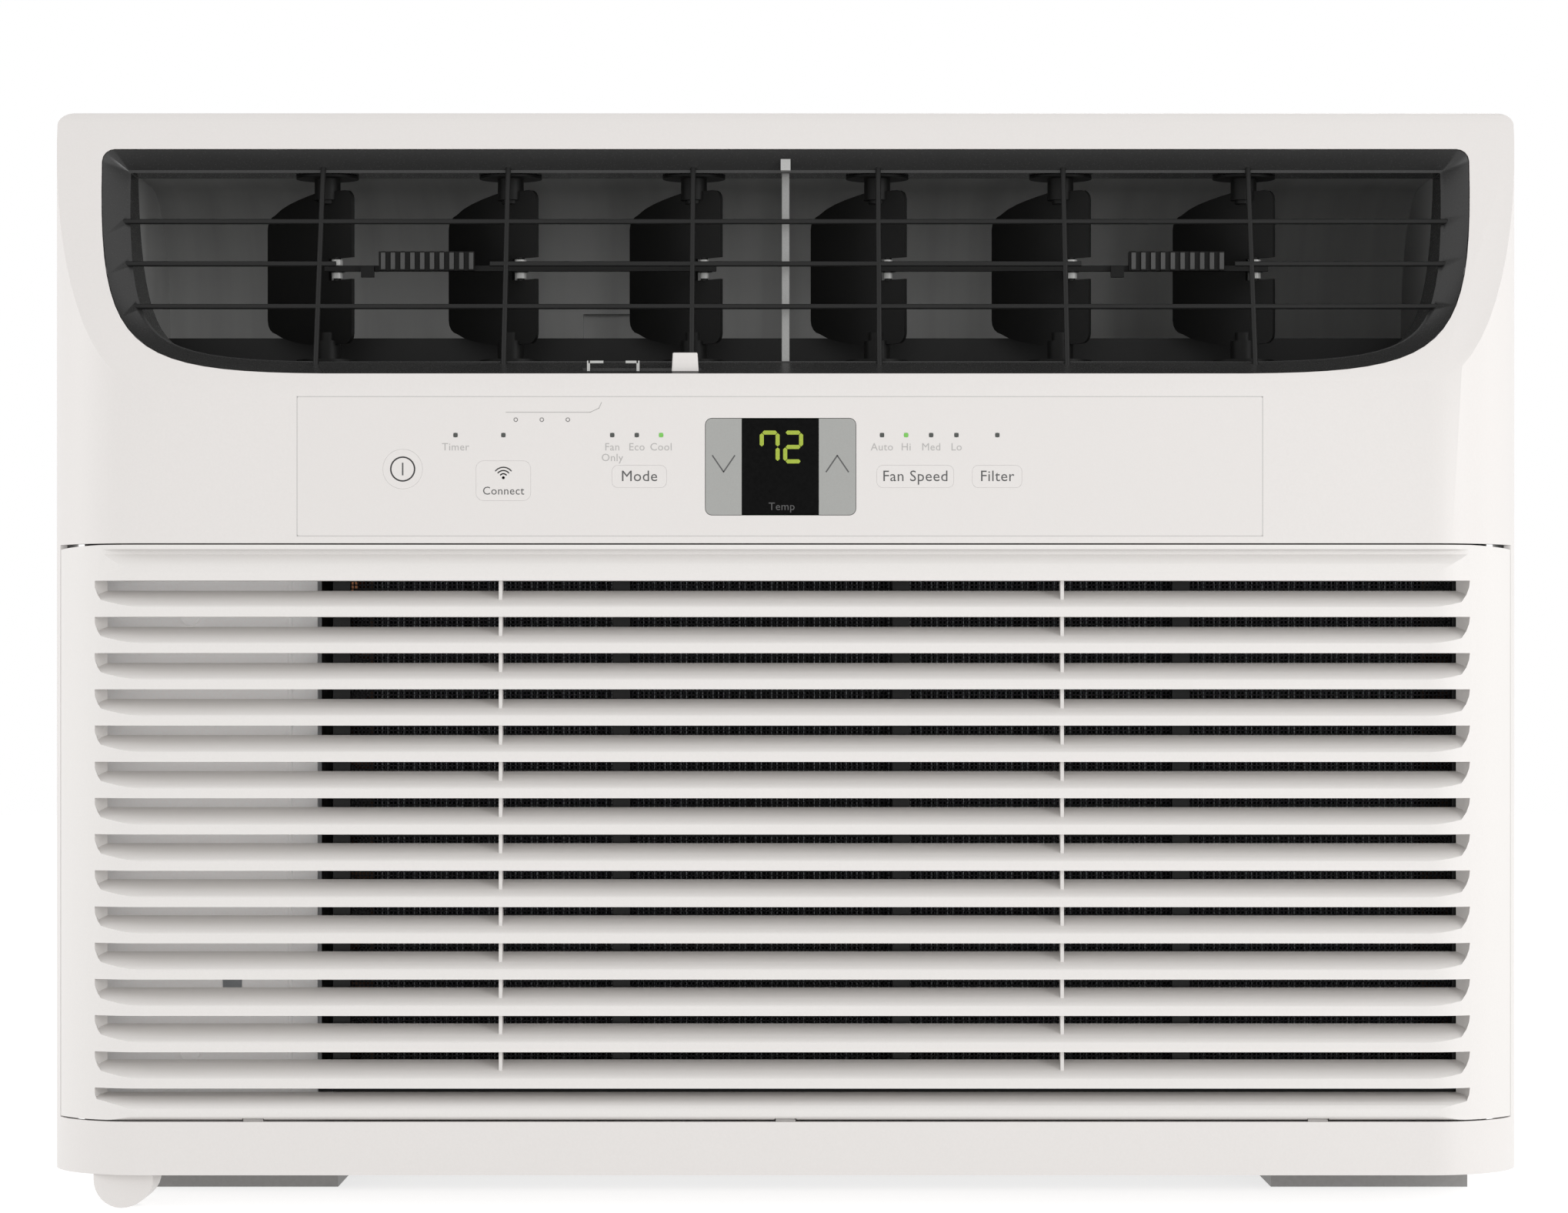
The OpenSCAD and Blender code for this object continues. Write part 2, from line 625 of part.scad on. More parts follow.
module blower_housing() {
    color([0.85, 0.85, 0.83]) difference() {
        along_y(house_y[0], house_y[1]) scroll_area(2.4);
        along_y(house_y[0] - 1, house_y[1] - 2) scroll_area(0);
        rod_y(16, house_y[0], house_y[1] + 1, shaft_x, shaft_z);
    }
}

module inlet_ring() {
    color([0.3, 0.3, 0.3]) difference() {
        union() {
            along_y(house_y[0] - 2.2, house_y[0] - 0.2)
                polygon([[-186, 26], [281, 26], [281, 342], [-186, 342]]);
            rod_y(92, house_y[0] - 2.2, house_y[0] + 12, shaft_x, shaft_z);
        }
        rod_y(89, house_y[0] - 5, house_y[0] + 14, shaft_x, shaft_z);
    }
}

module bulkhead() {
    color([0.7, 0.71, 0.72]) difference() {
        union() {
            box([-282, bulk_y[0], 18.2], [282, bulk_y[1], 436]);
            box([-282, bulk_y[1], 424], [282, bulk_y[1] + 10, 425.2]);
        }
        rod_y(16, bulk_y[0] - 1, bulk_y[1] + 1, shaft_x, shaft_z);
        rod_y(6.6, bulk_y[0] - 1, bulk_y[1] + 1, suction_route[2][0], suction_z);
        box([door[0][0] + 5, bulk_y[0] - 1, door[0][1] + 4], [door[1][0] - 5, bulk_y[1] + 1, door[1][1] - 4]);
    }
}

// ---------------------------------------------------------------- coils

evap_x = [-170, 262];
evap_y = [-238, -196];
evap_z = [26, 264];
cond_x = [-262, 262];
cond_y = [200, 244];
cond_z = [22, 424];
tube_r = 4.8;

// Hairpin tubes through a coil: plates at both ends and return bends beyond them
module coil_tubes(x, y, z, rows, step) {
    plate = 1.2;
    for (s = [0, 1]) {
        px = s == 0 ? x[0] - plate : x[1];
        color([0.72, 0.73, 0.74]) box([px, y[0] - 1, z[0] - 3], [px + plate, y[1] + 1, z[1] + 1]);
    }
    color([0.75, 0.42, 0.26]) for (row = [0:1]) for (i = [0:rows - 1]) {
        ty = y[0] + (y[1] - y[0]) * (0.27 + 0.46 * row);
        tz = z[0] + step * (i + 0.5) + 3;
        left = i % 2 == 0;
        if (i < rows - 1) translate([left ? x[0] - plate : x[1] + plate, ty, tz + step / 2])
            rotate([90, 0, 0]) rotate([0, 0, left ? 90 : -90])
            rotate_extrude(angle = 180) translate([step / 2, 0]) circle(r = tube_r - 0.8);
    }
}

module evaporator_fins() {
    color([0.8, 0.82, 0.84]) box([evap_x[0], evap_y[0], evap_z[0]], [evap_x[1], evap_y[1], evap_z[1]]);
}

module evaporator_tubes() { coil_tubes(evap_x, evap_y, evap_z, 10, 23.2); }

module condenser_fins() {
    color([0.8, 0.82, 0.84]) box([cond_x[0], cond_y[0], cond_z[0]], [cond_x[1], cond_y[1], cond_z[1]]);
}

module condenser_tubes() { coil_tubes(cond_x, cond_y, cond_z, 16, 24.8); }

module drip_tray() {
    color([0.9, 0.9, 0.9]) difference() {
        box([-182, -243, 17.8], [280, -186, 31]);
        box([-179, -240, 20], [277, -188, 32]);
        box([240, -189, 20], [262, -180, 26]);
    }
}

module condenser_shroud() {
    ring = fan_r + 7;
    color([0.25, 0.26, 0.27]) difference() {
        union() {
            box([-276, 124, 18.2], [276, 126.4, 430]);
            rod_y(ring + 2.4, 124, 160, shaft_x, shaft_z);
            box([-276, 124, 427], [276, 198, 430]);
            for (x = [-276, 273.6]) box([x, 124, 18.2], [x + 2.4, 198, 430]);
        }
        rod_y(ring, 120, 164, shaft_x, shaft_z);
        box([-300, 100, 0], [300, 210, 18.2]);
    }
}

// ---------------------------------------------------------------- fan motor and fans

motor_r = 62;
motor_y = [-50, 40];

module fan_motor() {
    color([0.35, 0.36, 0.38]) {
        difference() {
            union() {
                rod_y(motor_r, motor_y[0] + 8, motor_y[1] - 8, shaft_x, shaft_z);
                rod_y(motor_r - 7, motor_y[0], motor_y[1], shaft_x, shaft_z);
                rod_y(15, motor_y[0] - 8, motor_y[1] + 8, shaft_x, shaft_z);
            }
            rod_y(6.4, motor_y[0] - 10, motor_y[1] + 10, shaft_x, shaft_z);
        }
    }
}

module motor_mount() {
    y = [-16, 8];
    color([0.7, 0.71, 0.72]) difference() {
        union() {
            rod_y(motor_r + 4, y[0], y[1], shaft_x, shaft_z);
            for (s = [-1, 1])
                box([shaft_x + s * 46 - 6, y[0], 18.2], [shaft_x + s * 46 + 6, y[1], shaft_z - 40]);
            box([shaft_x - 80, y[0] - 8, 17.9], [shaft_x + 80, y[1] + 8, 21]);
        }
        rod_y(motor_r + 0.15, y[0] - 1, y[1] + 1, shaft_x, shaft_z);
    }
    color([0.6, 0.6, 0.62]) for (s = [-1, 1]) translate([shaft_x + s * 72, -4, 21])
        cylinder(r = 6, h = 4, $fn = 6);
}

module fan_shaft() {
    color([0.75, 0.76, 0.78]) rod_y(6, -168, 166, shaft_x, shaft_z);
}

wheel_y = [-170, -88];

module blower_wheel() {
    blades = 40;
    color([0.2, 0.2, 0.2]) translate([shaft_x, 0, shaft_z]) {
        difference() {
            union() {
                rod_y(blower_r, wheel_y[1] - 2, wheel_y[1]);
                rod_y(14, wheel_y[1] - 24, wheel_y[1]);
                difference() {
                    rod_y(blower_r, wheel_y[0], wheel_y[0] + 5);
                    rod_y(blower_r - 12, wheel_y[0] - 1, wheel_y[0] + 6);
                }
                for (i = [0:blades - 1]) rotate([0, i * 360 / blades, 0])
                    translate([blower_r - 8, 0, 0]) rotate([0, 28, 0])
                    box([-7.5, wheel_y[0] + 2, -0.6], [7, wheel_y[1] - 1, 0.6]);
            }
            rod_y(6.02, wheel_y[0] - 1, wheel_y[1] + 1);
        }
    }
}

module condenser_fan() {
    y = [128, 160];
    color([0.22, 0.22, 0.24]) translate([shaft_x, 0, shaft_z]) difference() {
        union() {
            rod_y(30, y[0], y[1]);
            // slinger ring that lifts condensate on to the coil
            difference() {
                rod_y(fan_r, y[1] - 12, y[1]);
                rod_y(fan_r - 3, y[1] - 13, y[1] + 1);
            }
            for (i = [0:4]) rotate([0, i * 72, 0]) intersection() {
                translate([0, (y[0] + y[1]) / 2, 0]) rotate([22, 0, 0])
                    along_y(-1.3, 1.3) polygon(concat([[24, -18]], arc([0, 0], 172, 172, -12, 13, 8), [[24, 19]]));
                rod_y(fan_r - 1, y[0] - 5, y[1] + 5);
            }
        }
        rod_y(6.02, y[0] - 1, y[1] + 1);
    }
}

// ---------------------------------------------------------------- sealed system

comp_at = [-200, 20];
comp_r = 60;
comp_z = [34, 272];
acc_at = [-244, 100];
acc_r = 24;
pan_top = 17.8;

// Welded shell on its three-armed foot, with the terminal cover and the strapped accumulator
module compressor() {
    color([0.12, 0.12, 0.13]) {
        translate([comp_at[0], comp_at[1], 0]) {
            rotate_extrude() polygon(concat([[0, comp_z[0]]],
                arc([comp_r - 14, comp_z[0] + 14], 14, 14, -90, 0, 5),
                [[comp_r, comp_z[0] + 60], [comp_r + 1.5, comp_z[0] + 62], [comp_r + 1.5, comp_z[0] + 70]],
                [[comp_r, comp_z[0] + 72]],
                arc([comp_r - 30, comp_z[1] - 30], 30, 30, 0, 90, 6), [[0, comp_z[1]]]));
            translate([0, 0, comp_z[0] - 4]) linear_extrude(4) difference() {
                polygon([for (i = [0:17]) let (a = i * 20 + 90, r = (i % 6 == 0) ? 88 : 62)
                    [r * cos(a), r * sin(a)]]);
                for (i = [0:2]) rotate(90 + i * 120) translate([76, 0]) circle(r = 4.2);
            }
            translate([0, -20, comp_z[1] - 2]) cylinder(r = 15, h = 16);
        }
        translate([acc_at[0], acc_at[1], 0]) rotate_extrude() polygon(concat(
            [[0, 96]], arc([acc_r - 10, 106], 10, 10, -90, 0, 4),
            arc([acc_r - 12, 214], 12, 12, 0, 90, 4), [[0, 226]]));
        translate([(comp_at[0] + acc_at[0]) / 2, (comp_at[1] + acc_at[1]) / 2, 150])
            rotate([0, 0, atan2(acc_at[1] - comp_at[1], acc_at[0] - comp_at[0])])
            translate([-8, -10, 0]) cube([34, 20, 14]);
    }
}

module compressor_mounts() {
    for (i = [0:2]) {
        a = 90 + i * 120;
        translate([comp_at[0] + 76 * cos(a), comp_at[1] + 76 * sin(a), 0]) {
            color([0.05, 0.05, 0.05]) difference() {
                translate([0, 0, pan_top + 0.2]) cylinder(r = 11, h = comp_z[0] - 4.2 - pan_top - 0.2);
                translate([0, 0, pan_top]) cylinder(r = 3.1, h = 30);
            }
            color([0.7, 0.7, 0.72]) {
                translate([0, 0, pan_top + 0.2]) cylinder(r = 3, h = 22);
                translate([0, 0, comp_z[0] + 0.2]) cylinder(r = 7, h = 4, $fn = 6);
            }
        }
    }
}

// A tube of one radius along a list of points, with a ring of sides at every point
module bent_tube(path, r, sides = 12) {
    n = len(path);
    function tangent(i) = let (d = path[min(i + 1, n - 1)] - path[max(i - 1, 0)]) d / norm(d);
    function side(t) = let (c = cross(t, abs(t[2]) > 0.9 ? [1, 0, 0] : [0, 0, 1])) c / norm(c);
    frames = [for (i = 0, u = side(tangent(0)); i < n; i = i + 1,
                   w = i < n ? u - tangent(i) * (u * tangent(i)) : u, u = w / norm(w)) [tangent(i), u]];
    points = [for (i = [0:n - 1]) let (t = frames[i][0], u = frames[i][1], v = cross(t, u))
        for (k = [0:sides - 1])
        path[i] + r * (cos(360 * k / sides) * u + sin(360 * k / sides) * v)];
    faces = concat([[for (k = [0:sides - 1]) k]],
        [for (i = [0:n - 2]) for (k = [0:sides - 1]) let (a = i * sides + k, b = i * sides + (k + 1) % sides)
            [a, a + sides, b + sides, b]],
        [[for (k = [sides - 1:-1:0]) (n - 1) * sides + k]]);
    polyhedron(points, faces, convexity = 8);
}

// Replaces each inner corner of a route with a short curve of the given reach
function eased(p, reach, n = 5) = [for (i = [0:len(p) - 1]) each (i == 0 || i == len(p) - 1) ? [p[i]] :
    let (u = (p[i - 1] - p[i]) / norm(p[i - 1] - p[i]), v = (p[i + 1] - p[i]) / norm(p[i + 1] - p[i]))
    [for (k = [0:n]) let (t = k / n)
        (1 - t) * (1 - t) * (p[i] + reach * u) + 2 * t * (1 - t) * p[i] + t * t * (p[i] + reach * v)]];

suction_z = 330;
suction_route = [[-244, 100, 226.2], [-244, 100, 300], [-244, 60, suction_z], [-244, -95, suction_z],
                 [-244, -125, 318], [-220, -150, 300], [-185, -190, 290], [-184, -217, 270], [-178, -217, 250]];
discharge_route = [[-185, 35, 272], [-185, 35, 330], [-230, 90, 345], [-284, 112, 345], [-284, 222, 345],
                   [-264, 222, 345]];

module suction_line() { color([0.75, 0.42, 0.26]) bent_tube(eased(suction_route, 12), 6); }

module discharge_line() { color([0.75, 0.42, 0.26]) bent_tube(eased(discharge_route, 12), 4); }

module capillary_line() {
    color([0.75, 0.42, 0.26]) bent_tube([for (i = [0:66]) let (a = i * 24)
        [-264 + 13 * cos(a), 66 + 13 * sin(a), 42 + i * 0.75]], 1.5, 8);
}

module filter_drier() {
    color([0.75, 0.42, 0.26]) translate([-262, 158, 0]) rotate_extrude() polygon(concat(
        [[0, 60], [4, 60]], [[4, 70], [9, 78], [9, 140], [4, 148], [4, 158], [0, 158]]));
}

// ---------------------------------------------------------------- electrical box

ebox_x = [-281, -192];
ebox_y = [-232, -100];
ebox_z = [48, 262];

module control_box() {
    color([0.72, 0.73, 0.74]) difference() {
        box([ebox_x[0], ebox_y[0], ebox_z[0]], [ebox_x[1], ebox_y[1], ebox_z[1]]);
        box([ebox_x[0] + sheet, ebox_y[0] - 1, ebox_z[0] + sheet],
            [ebox_x[1] - sheet, ebox_y[1] - sheet, ebox_z[1] - sheet]);
    }
}

cover_y = front_y + 24;

module control_box_cover() {
    color([0.9, 0.89, 0.87]) {
        difference() {
            union() {
                box([-284, cover_y, 40], [-191, cover_y + 2, 264]);
                box([-203, cover_y - 1.2, 40], [-201.4, cover_y + 1, 264]);
                box([-200, cover_y + 2, 40], [-198, ebox_y[0] - 0.2, 264]);
                box([-284, cover_y + 2, 40], [-282, ebox_y[0] - 0.2, 264]);
            }
            box([-230, cover_y - 1, 88], [-222, cover_y + 3, 96]);
        }
        for (z = [62, 240]) rod_y(4, cover_y - 2, cover_y, -243, z);
    }
}

module run_capacitor() {
    color([0.75, 0.76, 0.78]) translate([-238, -150, 0]) {
        translate([0, 0, ebox_z[0] + sheet]) cylinder(r = 25, h = 96);
        translate([0, 0, ebox_z[0] + sheet + 96]) cylinder(r = 22, h = 2);
        for (i = [0:2]) translate([13 * cos(120 * i) - 1, 13 * sin(120 * i) - 3.2, ebox_z[0] + sheet + 98])
            cube([1.2, 6.4, 9]);
    }
}

// ---------------------------------------------------------------- pans and cabinet

module base_pan() {
    x = 284;
    y0 = -246;
    y1 = 266;
    z0 = panel_z0 + wall;
    color([0.72, 0.73, 0.74]) difference() {
        box([-x, y0, z0], [x, y1, z0 + 22]);
        box([sheet - x, y0 + sheet, z0 + sheet], [x - sheet, y1 - sheet, z0 + 30]);
        translate([120, 232, 0]) cylinder(r = 6, h = 30);
    }
}

foot = [[-288, -189], [205, 288]];
foot_y = [-192, 262];
floor_z = 14.4;
floor_t = 1.5;

module cabinet_floor() {
    x = cab_w / 2 - sheet - 0.1;
    color([0.8, 0.8, 0.79]) difference() {
        union() {
            box([-x, -199, floor_z], [x, cab_y[1] - 0.4, floor_z + floor_t]);
            for (f = foot) box([f[0], foot_y[0], 0], [f[1], foot_y[1], floor_z]);
            for (s = [-x, x - floor_t]) box([s, -199, floor_z], [s + floor_t, cab_y[1] - 0.4, floor_z + 26]);
        }
        for (f = foot) box([f[0] + floor_t, foot_y[0] + floor_t, floor_t],
                           [f[1] - floor_t, foot_y[1] - floor_t, floor_z + 5]);
        translate([120, 232, 0]) cylinder(r = 9.2, h = 30);
        for (sx = [-120, 120]) for (sy = [-160, -100]) translate([sx, sy, 0]) cylinder(r = 3.2, h = 30);
    }
}

module drain_nipple() {
    color([0.15, 0.15, 0.15]) translate([120, 232, 0]) difference() {
        union() {
            translate([0, 0, 2]) cylinder(r = 6.35, h = 12.2);
            translate([0, 0, 12]) cylinder(r = 12, h = floor_z - 12.02);
            translate([0, 0, 12]) cylinder(r = 9, h = 4.2);
        }
        cylinder(r = 4.6, h = 30);
    }
}

cab_y = [-206, rear_y - 6.4];
cab_top = 444;
cab_low = 17;
screw_z = [40, 217.5, 420];

// A pressed louver: a slot below a slanted lip
module side_slots(x, y0, columns, rows, z0) {
    for (c = [0:columns - 1]) for (r = [0:rows - 1])
        box([x - 4, y0 + c * 62, z0 + r * 13], [x + 4, y0 + c * 62 + 50, z0 + r * 13 + 4]);
}

module cabinet_shell() {
    x = cab_w / 2;
    r = 6;
    color([0.86, 0.86, 0.85]) difference() {
        along_y(cab_y[0], cab_y[1]) polygon(concat([[-x, cab_low]], arc([r - x, cab_top - r], r, r, 180, 90, 6),
            arc([x - r, cab_top - r], r, r, 90, 0, 6), [[x, cab_low]]));
        along_y(cab_y[0] - 1, cab_y[1] + 1) polygon(concat([[sheet - x, 0]],
            arc([r - x, cab_top - r], r - sheet, r - sheet, 180, 90, 6),
            arc([x - r, cab_top - r], r - sheet, r - sheet, 90, 0, 6), [[x - sheet, 0]]));
        side_slots(-x, 62, 3, 18, 150);
        side_slots(x, 62, 3, 18, 150);
        // slots in the top above the outdoor side
        for (c = [0:5]) for (r = [0:6])
            box([-255 + c * 88, 60 + r * 17, cab_top - 4], [-255 + c * 88 + 70, 64 + r * 17, cab_top + 2]);
        // holes for the window rail on top and for the side curtains
        for (hx = [-220, 220]) for (hy = [-150, -130]) translate([hx, hy, cab_top - 4]) cylinder(r = 2.6, h = 8);
        for (hz = [90, 390]) translate([-x - 5, -150, hz]) rotate([0, 90, 0]) cylinder(r = 2.1, h = cab_w + 10);
    }
}

module rear_guard() {
    y = cab_y[1];
    color([0.8, 0.8, 0.79]) {
        difference() {
            box([-291, y, 18], [291, y + 4.5, 441]);
            box([-279, y - 1, 30], [279, y + 6, 429]);
            for (x = [-285, 285]) for (z = screw_z) rod_y(2.2, y - 1, y + 6, x, z);
        }
        for (i = [1:15]) rod_x(1.2, -285, 285, y + 2.9, 30 + i * 25);
        for (i = [-4:4]) translate([i * 62, y + 1.4, 24]) cylinder(r = 1.2, h = 411);
    }
}

// A round bar from x0 to x1
module rod_x(r, x0, x1, y, z) { translate([x0, y, z]) rotate([0, 90, 0]) cylinder(r = r, h = x1 - x0); }

module cabinet_screws() {
    color([0.6, 0.6, 0.62]) for (x = [-285, 285]) for (z = screw_z) {
        rod_y(2.1, cab_y[1] - 6, cab_y[1] + 5, x, z);
        rod_y(4.2, cab_y[1] + 4.5, cab_y[1] + 6.4, x, z);
    }
}

// ---------------------------------------------------------------- power-cord outlet

module cord_outlet() {
    w = 24;
    color([0.88, 0.87, 0.86]) difference() {
        along_y(outlet_y - 14, outlet_y + 14) translate([outlet_x, 0]) polygon(concat(
            [[-w / 2, panel_z0]], arc([-1, 12], 11, 11.8, 180, 270, 8), arc([-1, 12], 13, 11.8, 270, 360, 8),
            [[w / 2, panel_z0]]));
        translate([outlet_x, outlet_y, -1]) cylinder(r = outlet_r, h = panel_z0 + 2);
    }
}

// ---------------------------------------------------------------- drawing

cabinet_shell();
cabinet_floor();
rear_guard();
cabinet_screws();
drain_nipple();
base_pan();
front_panel();
louver_bezel();
louver_grid();
centre_post();
control_overlay();
display_window();
indicator_lights();
control_board();
discharge_duct();
blower_housing();
inlet_ring();
evaporator_fins();
evaporator_tubes();
drip_tray();
control_box();
control_box_cover();
run_capacitor();
bulkhead();
fan_motor();
motor_mount();
compressor();
compressor_mounts();
suction_line();
discharge_line();
capillary_line();
filter_drier();
condenser_fins();
condenser_tubes();
condenser_shroud();
cord_outlet();
intake_grille();
filter_frame();
filter_mesh();
grille_hinge_pins();
fan_shaft();
blower_wheel();
condenser_fan();
vane(pivots[0]);  // vane_left_1
vane(pivots[1]);  // vane_left_2
vane(pivots[2]);  // vane_left_3
vane(pivots[3]);  // vane_right_1
vane(pivots[4]);  // vane_right_2
vane(pivots[5]);  // vane_right_3
vane_link(pivots[0], -148.7);  // vane_link_left
vane_link(pivots[3], 162);  // vane_link_right
printed_key(keys[0]);  // key_power
printed_key(keys[1]);  // key_connect
printed_key(keys[2]);  // key_mode
printed_key(keys[3]);  // key_fan
printed_key(keys[4]);  // key_filter
temp_key(cluster[0][0], display_x[0] - cluster_gap, -25);  // key_temp_down
temp_key(display_x[1] + cluster_gap, cluster[1][0], 20.7);  // key_temp_up
vent_lever();
vent_door();
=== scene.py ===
"""Looks of a window air conditioner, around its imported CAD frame. Metres, +Z up, -Y towards the room."""

import json
import math

import bmesh
import bpy
from mathutils import Matrix, Vector


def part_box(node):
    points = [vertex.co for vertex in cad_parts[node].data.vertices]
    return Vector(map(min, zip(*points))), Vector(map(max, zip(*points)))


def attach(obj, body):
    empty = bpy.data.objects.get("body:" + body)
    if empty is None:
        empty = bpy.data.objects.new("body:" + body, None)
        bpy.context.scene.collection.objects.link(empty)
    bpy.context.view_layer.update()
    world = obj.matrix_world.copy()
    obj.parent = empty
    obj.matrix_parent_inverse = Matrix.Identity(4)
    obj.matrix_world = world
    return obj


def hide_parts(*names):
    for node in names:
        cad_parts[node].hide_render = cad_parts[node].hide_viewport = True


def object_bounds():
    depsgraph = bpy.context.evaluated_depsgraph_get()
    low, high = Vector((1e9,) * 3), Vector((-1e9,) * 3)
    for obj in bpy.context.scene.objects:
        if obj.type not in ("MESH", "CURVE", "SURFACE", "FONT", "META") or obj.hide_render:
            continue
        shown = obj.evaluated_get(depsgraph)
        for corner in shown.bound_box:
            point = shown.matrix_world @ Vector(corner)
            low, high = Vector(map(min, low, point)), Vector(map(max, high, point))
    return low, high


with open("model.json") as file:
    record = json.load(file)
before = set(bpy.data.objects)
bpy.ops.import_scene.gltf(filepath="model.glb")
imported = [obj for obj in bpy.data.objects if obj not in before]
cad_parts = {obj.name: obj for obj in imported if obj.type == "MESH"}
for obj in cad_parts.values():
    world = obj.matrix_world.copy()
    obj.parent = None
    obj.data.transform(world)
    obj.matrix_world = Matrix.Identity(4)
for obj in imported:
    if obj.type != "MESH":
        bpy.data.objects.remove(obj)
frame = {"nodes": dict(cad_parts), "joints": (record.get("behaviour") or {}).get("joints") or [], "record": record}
cad_low, cad_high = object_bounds()
FACE = cad_low.y  # plane of the front face
MM = 0.001

# ---------------------------------------------------------------- camera, floor and lights

CAMERA_DISTANCE = 1.900  # from the front face
CAMERA_HEIGHT = 0.207
SEEN_WIDTH = 0.6323  # width of the view at the front face
SENSOR = 36.0
SHIFT_X = -0.001  # in widths of the view
SHIFT_Y = 0.0574
FLOOR_SIZE = 12


def make_camera():
    """A level camera at the photograph's distance and height, shifted to its framing."""
    data = bpy.data.cameras.new("camera")
    data.sensor_width = SENSOR
    data.lens = SENSOR * CAMERA_DISTANCE / SEEN_WIDTH
    data.shift_x = SHIFT_X
    data.shift_y = SHIFT_Y
    data.clip_start = 0.01
    data.clip_end = 50
    camera = bpy.data.objects.new("camera", data)
    camera.location = (0, FACE - CAMERA_DISTANCE, CAMERA_HEIGHT)
    camera.rotation_euler = (math.pi / 2, 0, 0)
    bpy.context.scene.collection.objects.link(camera)
    bpy.context.scene.camera = camera


def area_light(name, place, aim, size, power):
    """A soft rectangular light that faces a point."""
    data = bpy.data.lights.new(name, "AREA")
    data.shape = "RECTANGLE"
    data.size, data.size_y = size
    data.energy = power
    light = bpy.data.objects.new(name, data)
    light.location = place
    light.rotation_euler = (Vector(aim) - Vector(place)).to_track_quat("-Z", "Y").to_euler()
    bpy.context.scene.collection.objects.link(light)


def make_studio():
    """White surroundings, four soft lights and a pale floor."""
    world = bpy.data.worlds.new("studio")
    world.use_nodes = True
    background = world.node_tree.nodes["Background"]
    background.inputs["Color"].default_value = (1, 1, 1, 1)
    background.inputs["Strength"].default_value = 1.0
    bpy.context.scene.world = world
    bpy.context.scene.view_settings.view_transform = "Standard"
    bpy.context.scene.view_settings.look = "None"
    area_light("left_softbox", (-2.3, -0.35, 0.8), (0, -0.2, 0.25), (1.4, 1.6), 12)
    area_light("right_softbox", (2.3, -0.35, 0.8), (0, -0.2, 0.25), (1.4, 1.6), 6)
    area_light("front_right_softbox", (2.2, -2.3, 0.7), (0, -0.2, 0.36), (0.8, 1.0), 24)
    area_light("rear_softbox", (0.8, 2.4, 1.4), (0, 0.1, 0.2), (1.4, 1.2), 8)
    bpy.ops.mesh.primitive_plane_add(size=FLOOR_SIZE, location=(0, 0, 0))
    floor = bpy.context.object
    floor.name = "floor"
    floor.data.materials.append(FLOOR)


# ---------------------------------------------------------------- materials

ROUGHNESS_SPREAD = 0.05
COAT_ROUGHNESS = 0.12
BUMP_DEPTH = 0.2 * MM


def surface(name, colour, roughness, tone, grain, bump, metallic=0.0, coat=0.0, sheen=0.5, glow=0.0,
            stretch=(1, 1, 1)):
    """A plain material whose colour, roughness and height vary a little with noise.

    tone is how much the colour varies, grain the noise's scale, stretch that scale along each axis and bump
    its height. sheen is the strength of the plain reflection, glow that of a white light from the surface.
    """
    material = bpy.data.materials.new(name)
    material.use_nodes = True
    nodes, links = material.node_tree.nodes, material.node_tree.links
    shader = nodes["Principled BSDF"]
    shader.inputs["Metallic"].default_value = metallic
    shader.inputs["Specular IOR Level"].default_value = sheen
    shader.inputs["Coat Weight"].default_value = coat
    shader.inputs["Coat Roughness"].default_value = COAT_ROUGHNESS
    shader.inputs["Emission Color"].default_value = (1, 1, 1, 1)
    shader.inputs["Emission Strength"].default_value = glow
    place = nodes.new("ShaderNodeTexCoord")
    scaled = nodes.new("ShaderNodeMapping")
    scaled.inputs["Scale"].default_value = stretch
    noise = nodes.new("ShaderNodeTexNoise")
    noise.inputs["Scale"].default_value = grain
    noise.inputs["Detail"].default_value = 3
    links.new(place.outputs["Object"], scaled.inputs["Vector"])
    links.new(scaled.outputs["Vector"], noise.inputs["Vector"])
    colours = nodes.new("ShaderNodeValToRGB")
    colours.color_ramp.elements[0].position = 0.3
    colours.color_ramp.elements[1].position = 0.7
    colours.color_ramp.elements[0].color = [c * (1 - tone) for c in colour] + [1]
    colours.color_ramp.elements[1].color = [min(1, c * (1 + tone)) for c in colour] + [1]
    links.new(noise.outputs["Fac"], colours.inputs["Fac"])
    links.new(colours.outputs["Color"], shader.inputs["Base Color"])
    rough = nodes.new("ShaderNodeMapRange")
    rough.inputs["To Min"].default_value = max(0.02, roughness - ROUGHNESS_SPREAD)
    rough.inputs["To Max"].default_value = min(1, roughness + ROUGHNESS_SPREAD)
    links.new(noise.outputs["Fac"], rough.inputs["Value"])
    links.new(rough.outputs["Result"], shader.inputs["Roughness"])
    if bump:
        height = nodes.new("ShaderNodeBump")
        height.inputs["Strength"].default_value = bump
        height.inputs["Distance"].default_value = BUMP_DEPTH
        links.new(noise.outputs["Fac"], height.inputs["Height"])
        links.new(height.outputs["Normal"], shader.inputs["Normal"])
    return material


def glowing(name, colour, strength):
    """A lit lamp or display segment, whose light varies a little with the same noise."""
    material = surface(name, colour, 0.4, tone=0.12, grain=2500, bump=0)
    shader = material.node_tree.nodes["Principled BSDF"]
    ramp = material.node_tree.nodes["Color Ramp"]
    material.node_tree.links.new(ramp.outputs["Color"], shader.inputs["Emission Color"])
    shader.inputs["Emission Strength"].default_value = strength
    return material


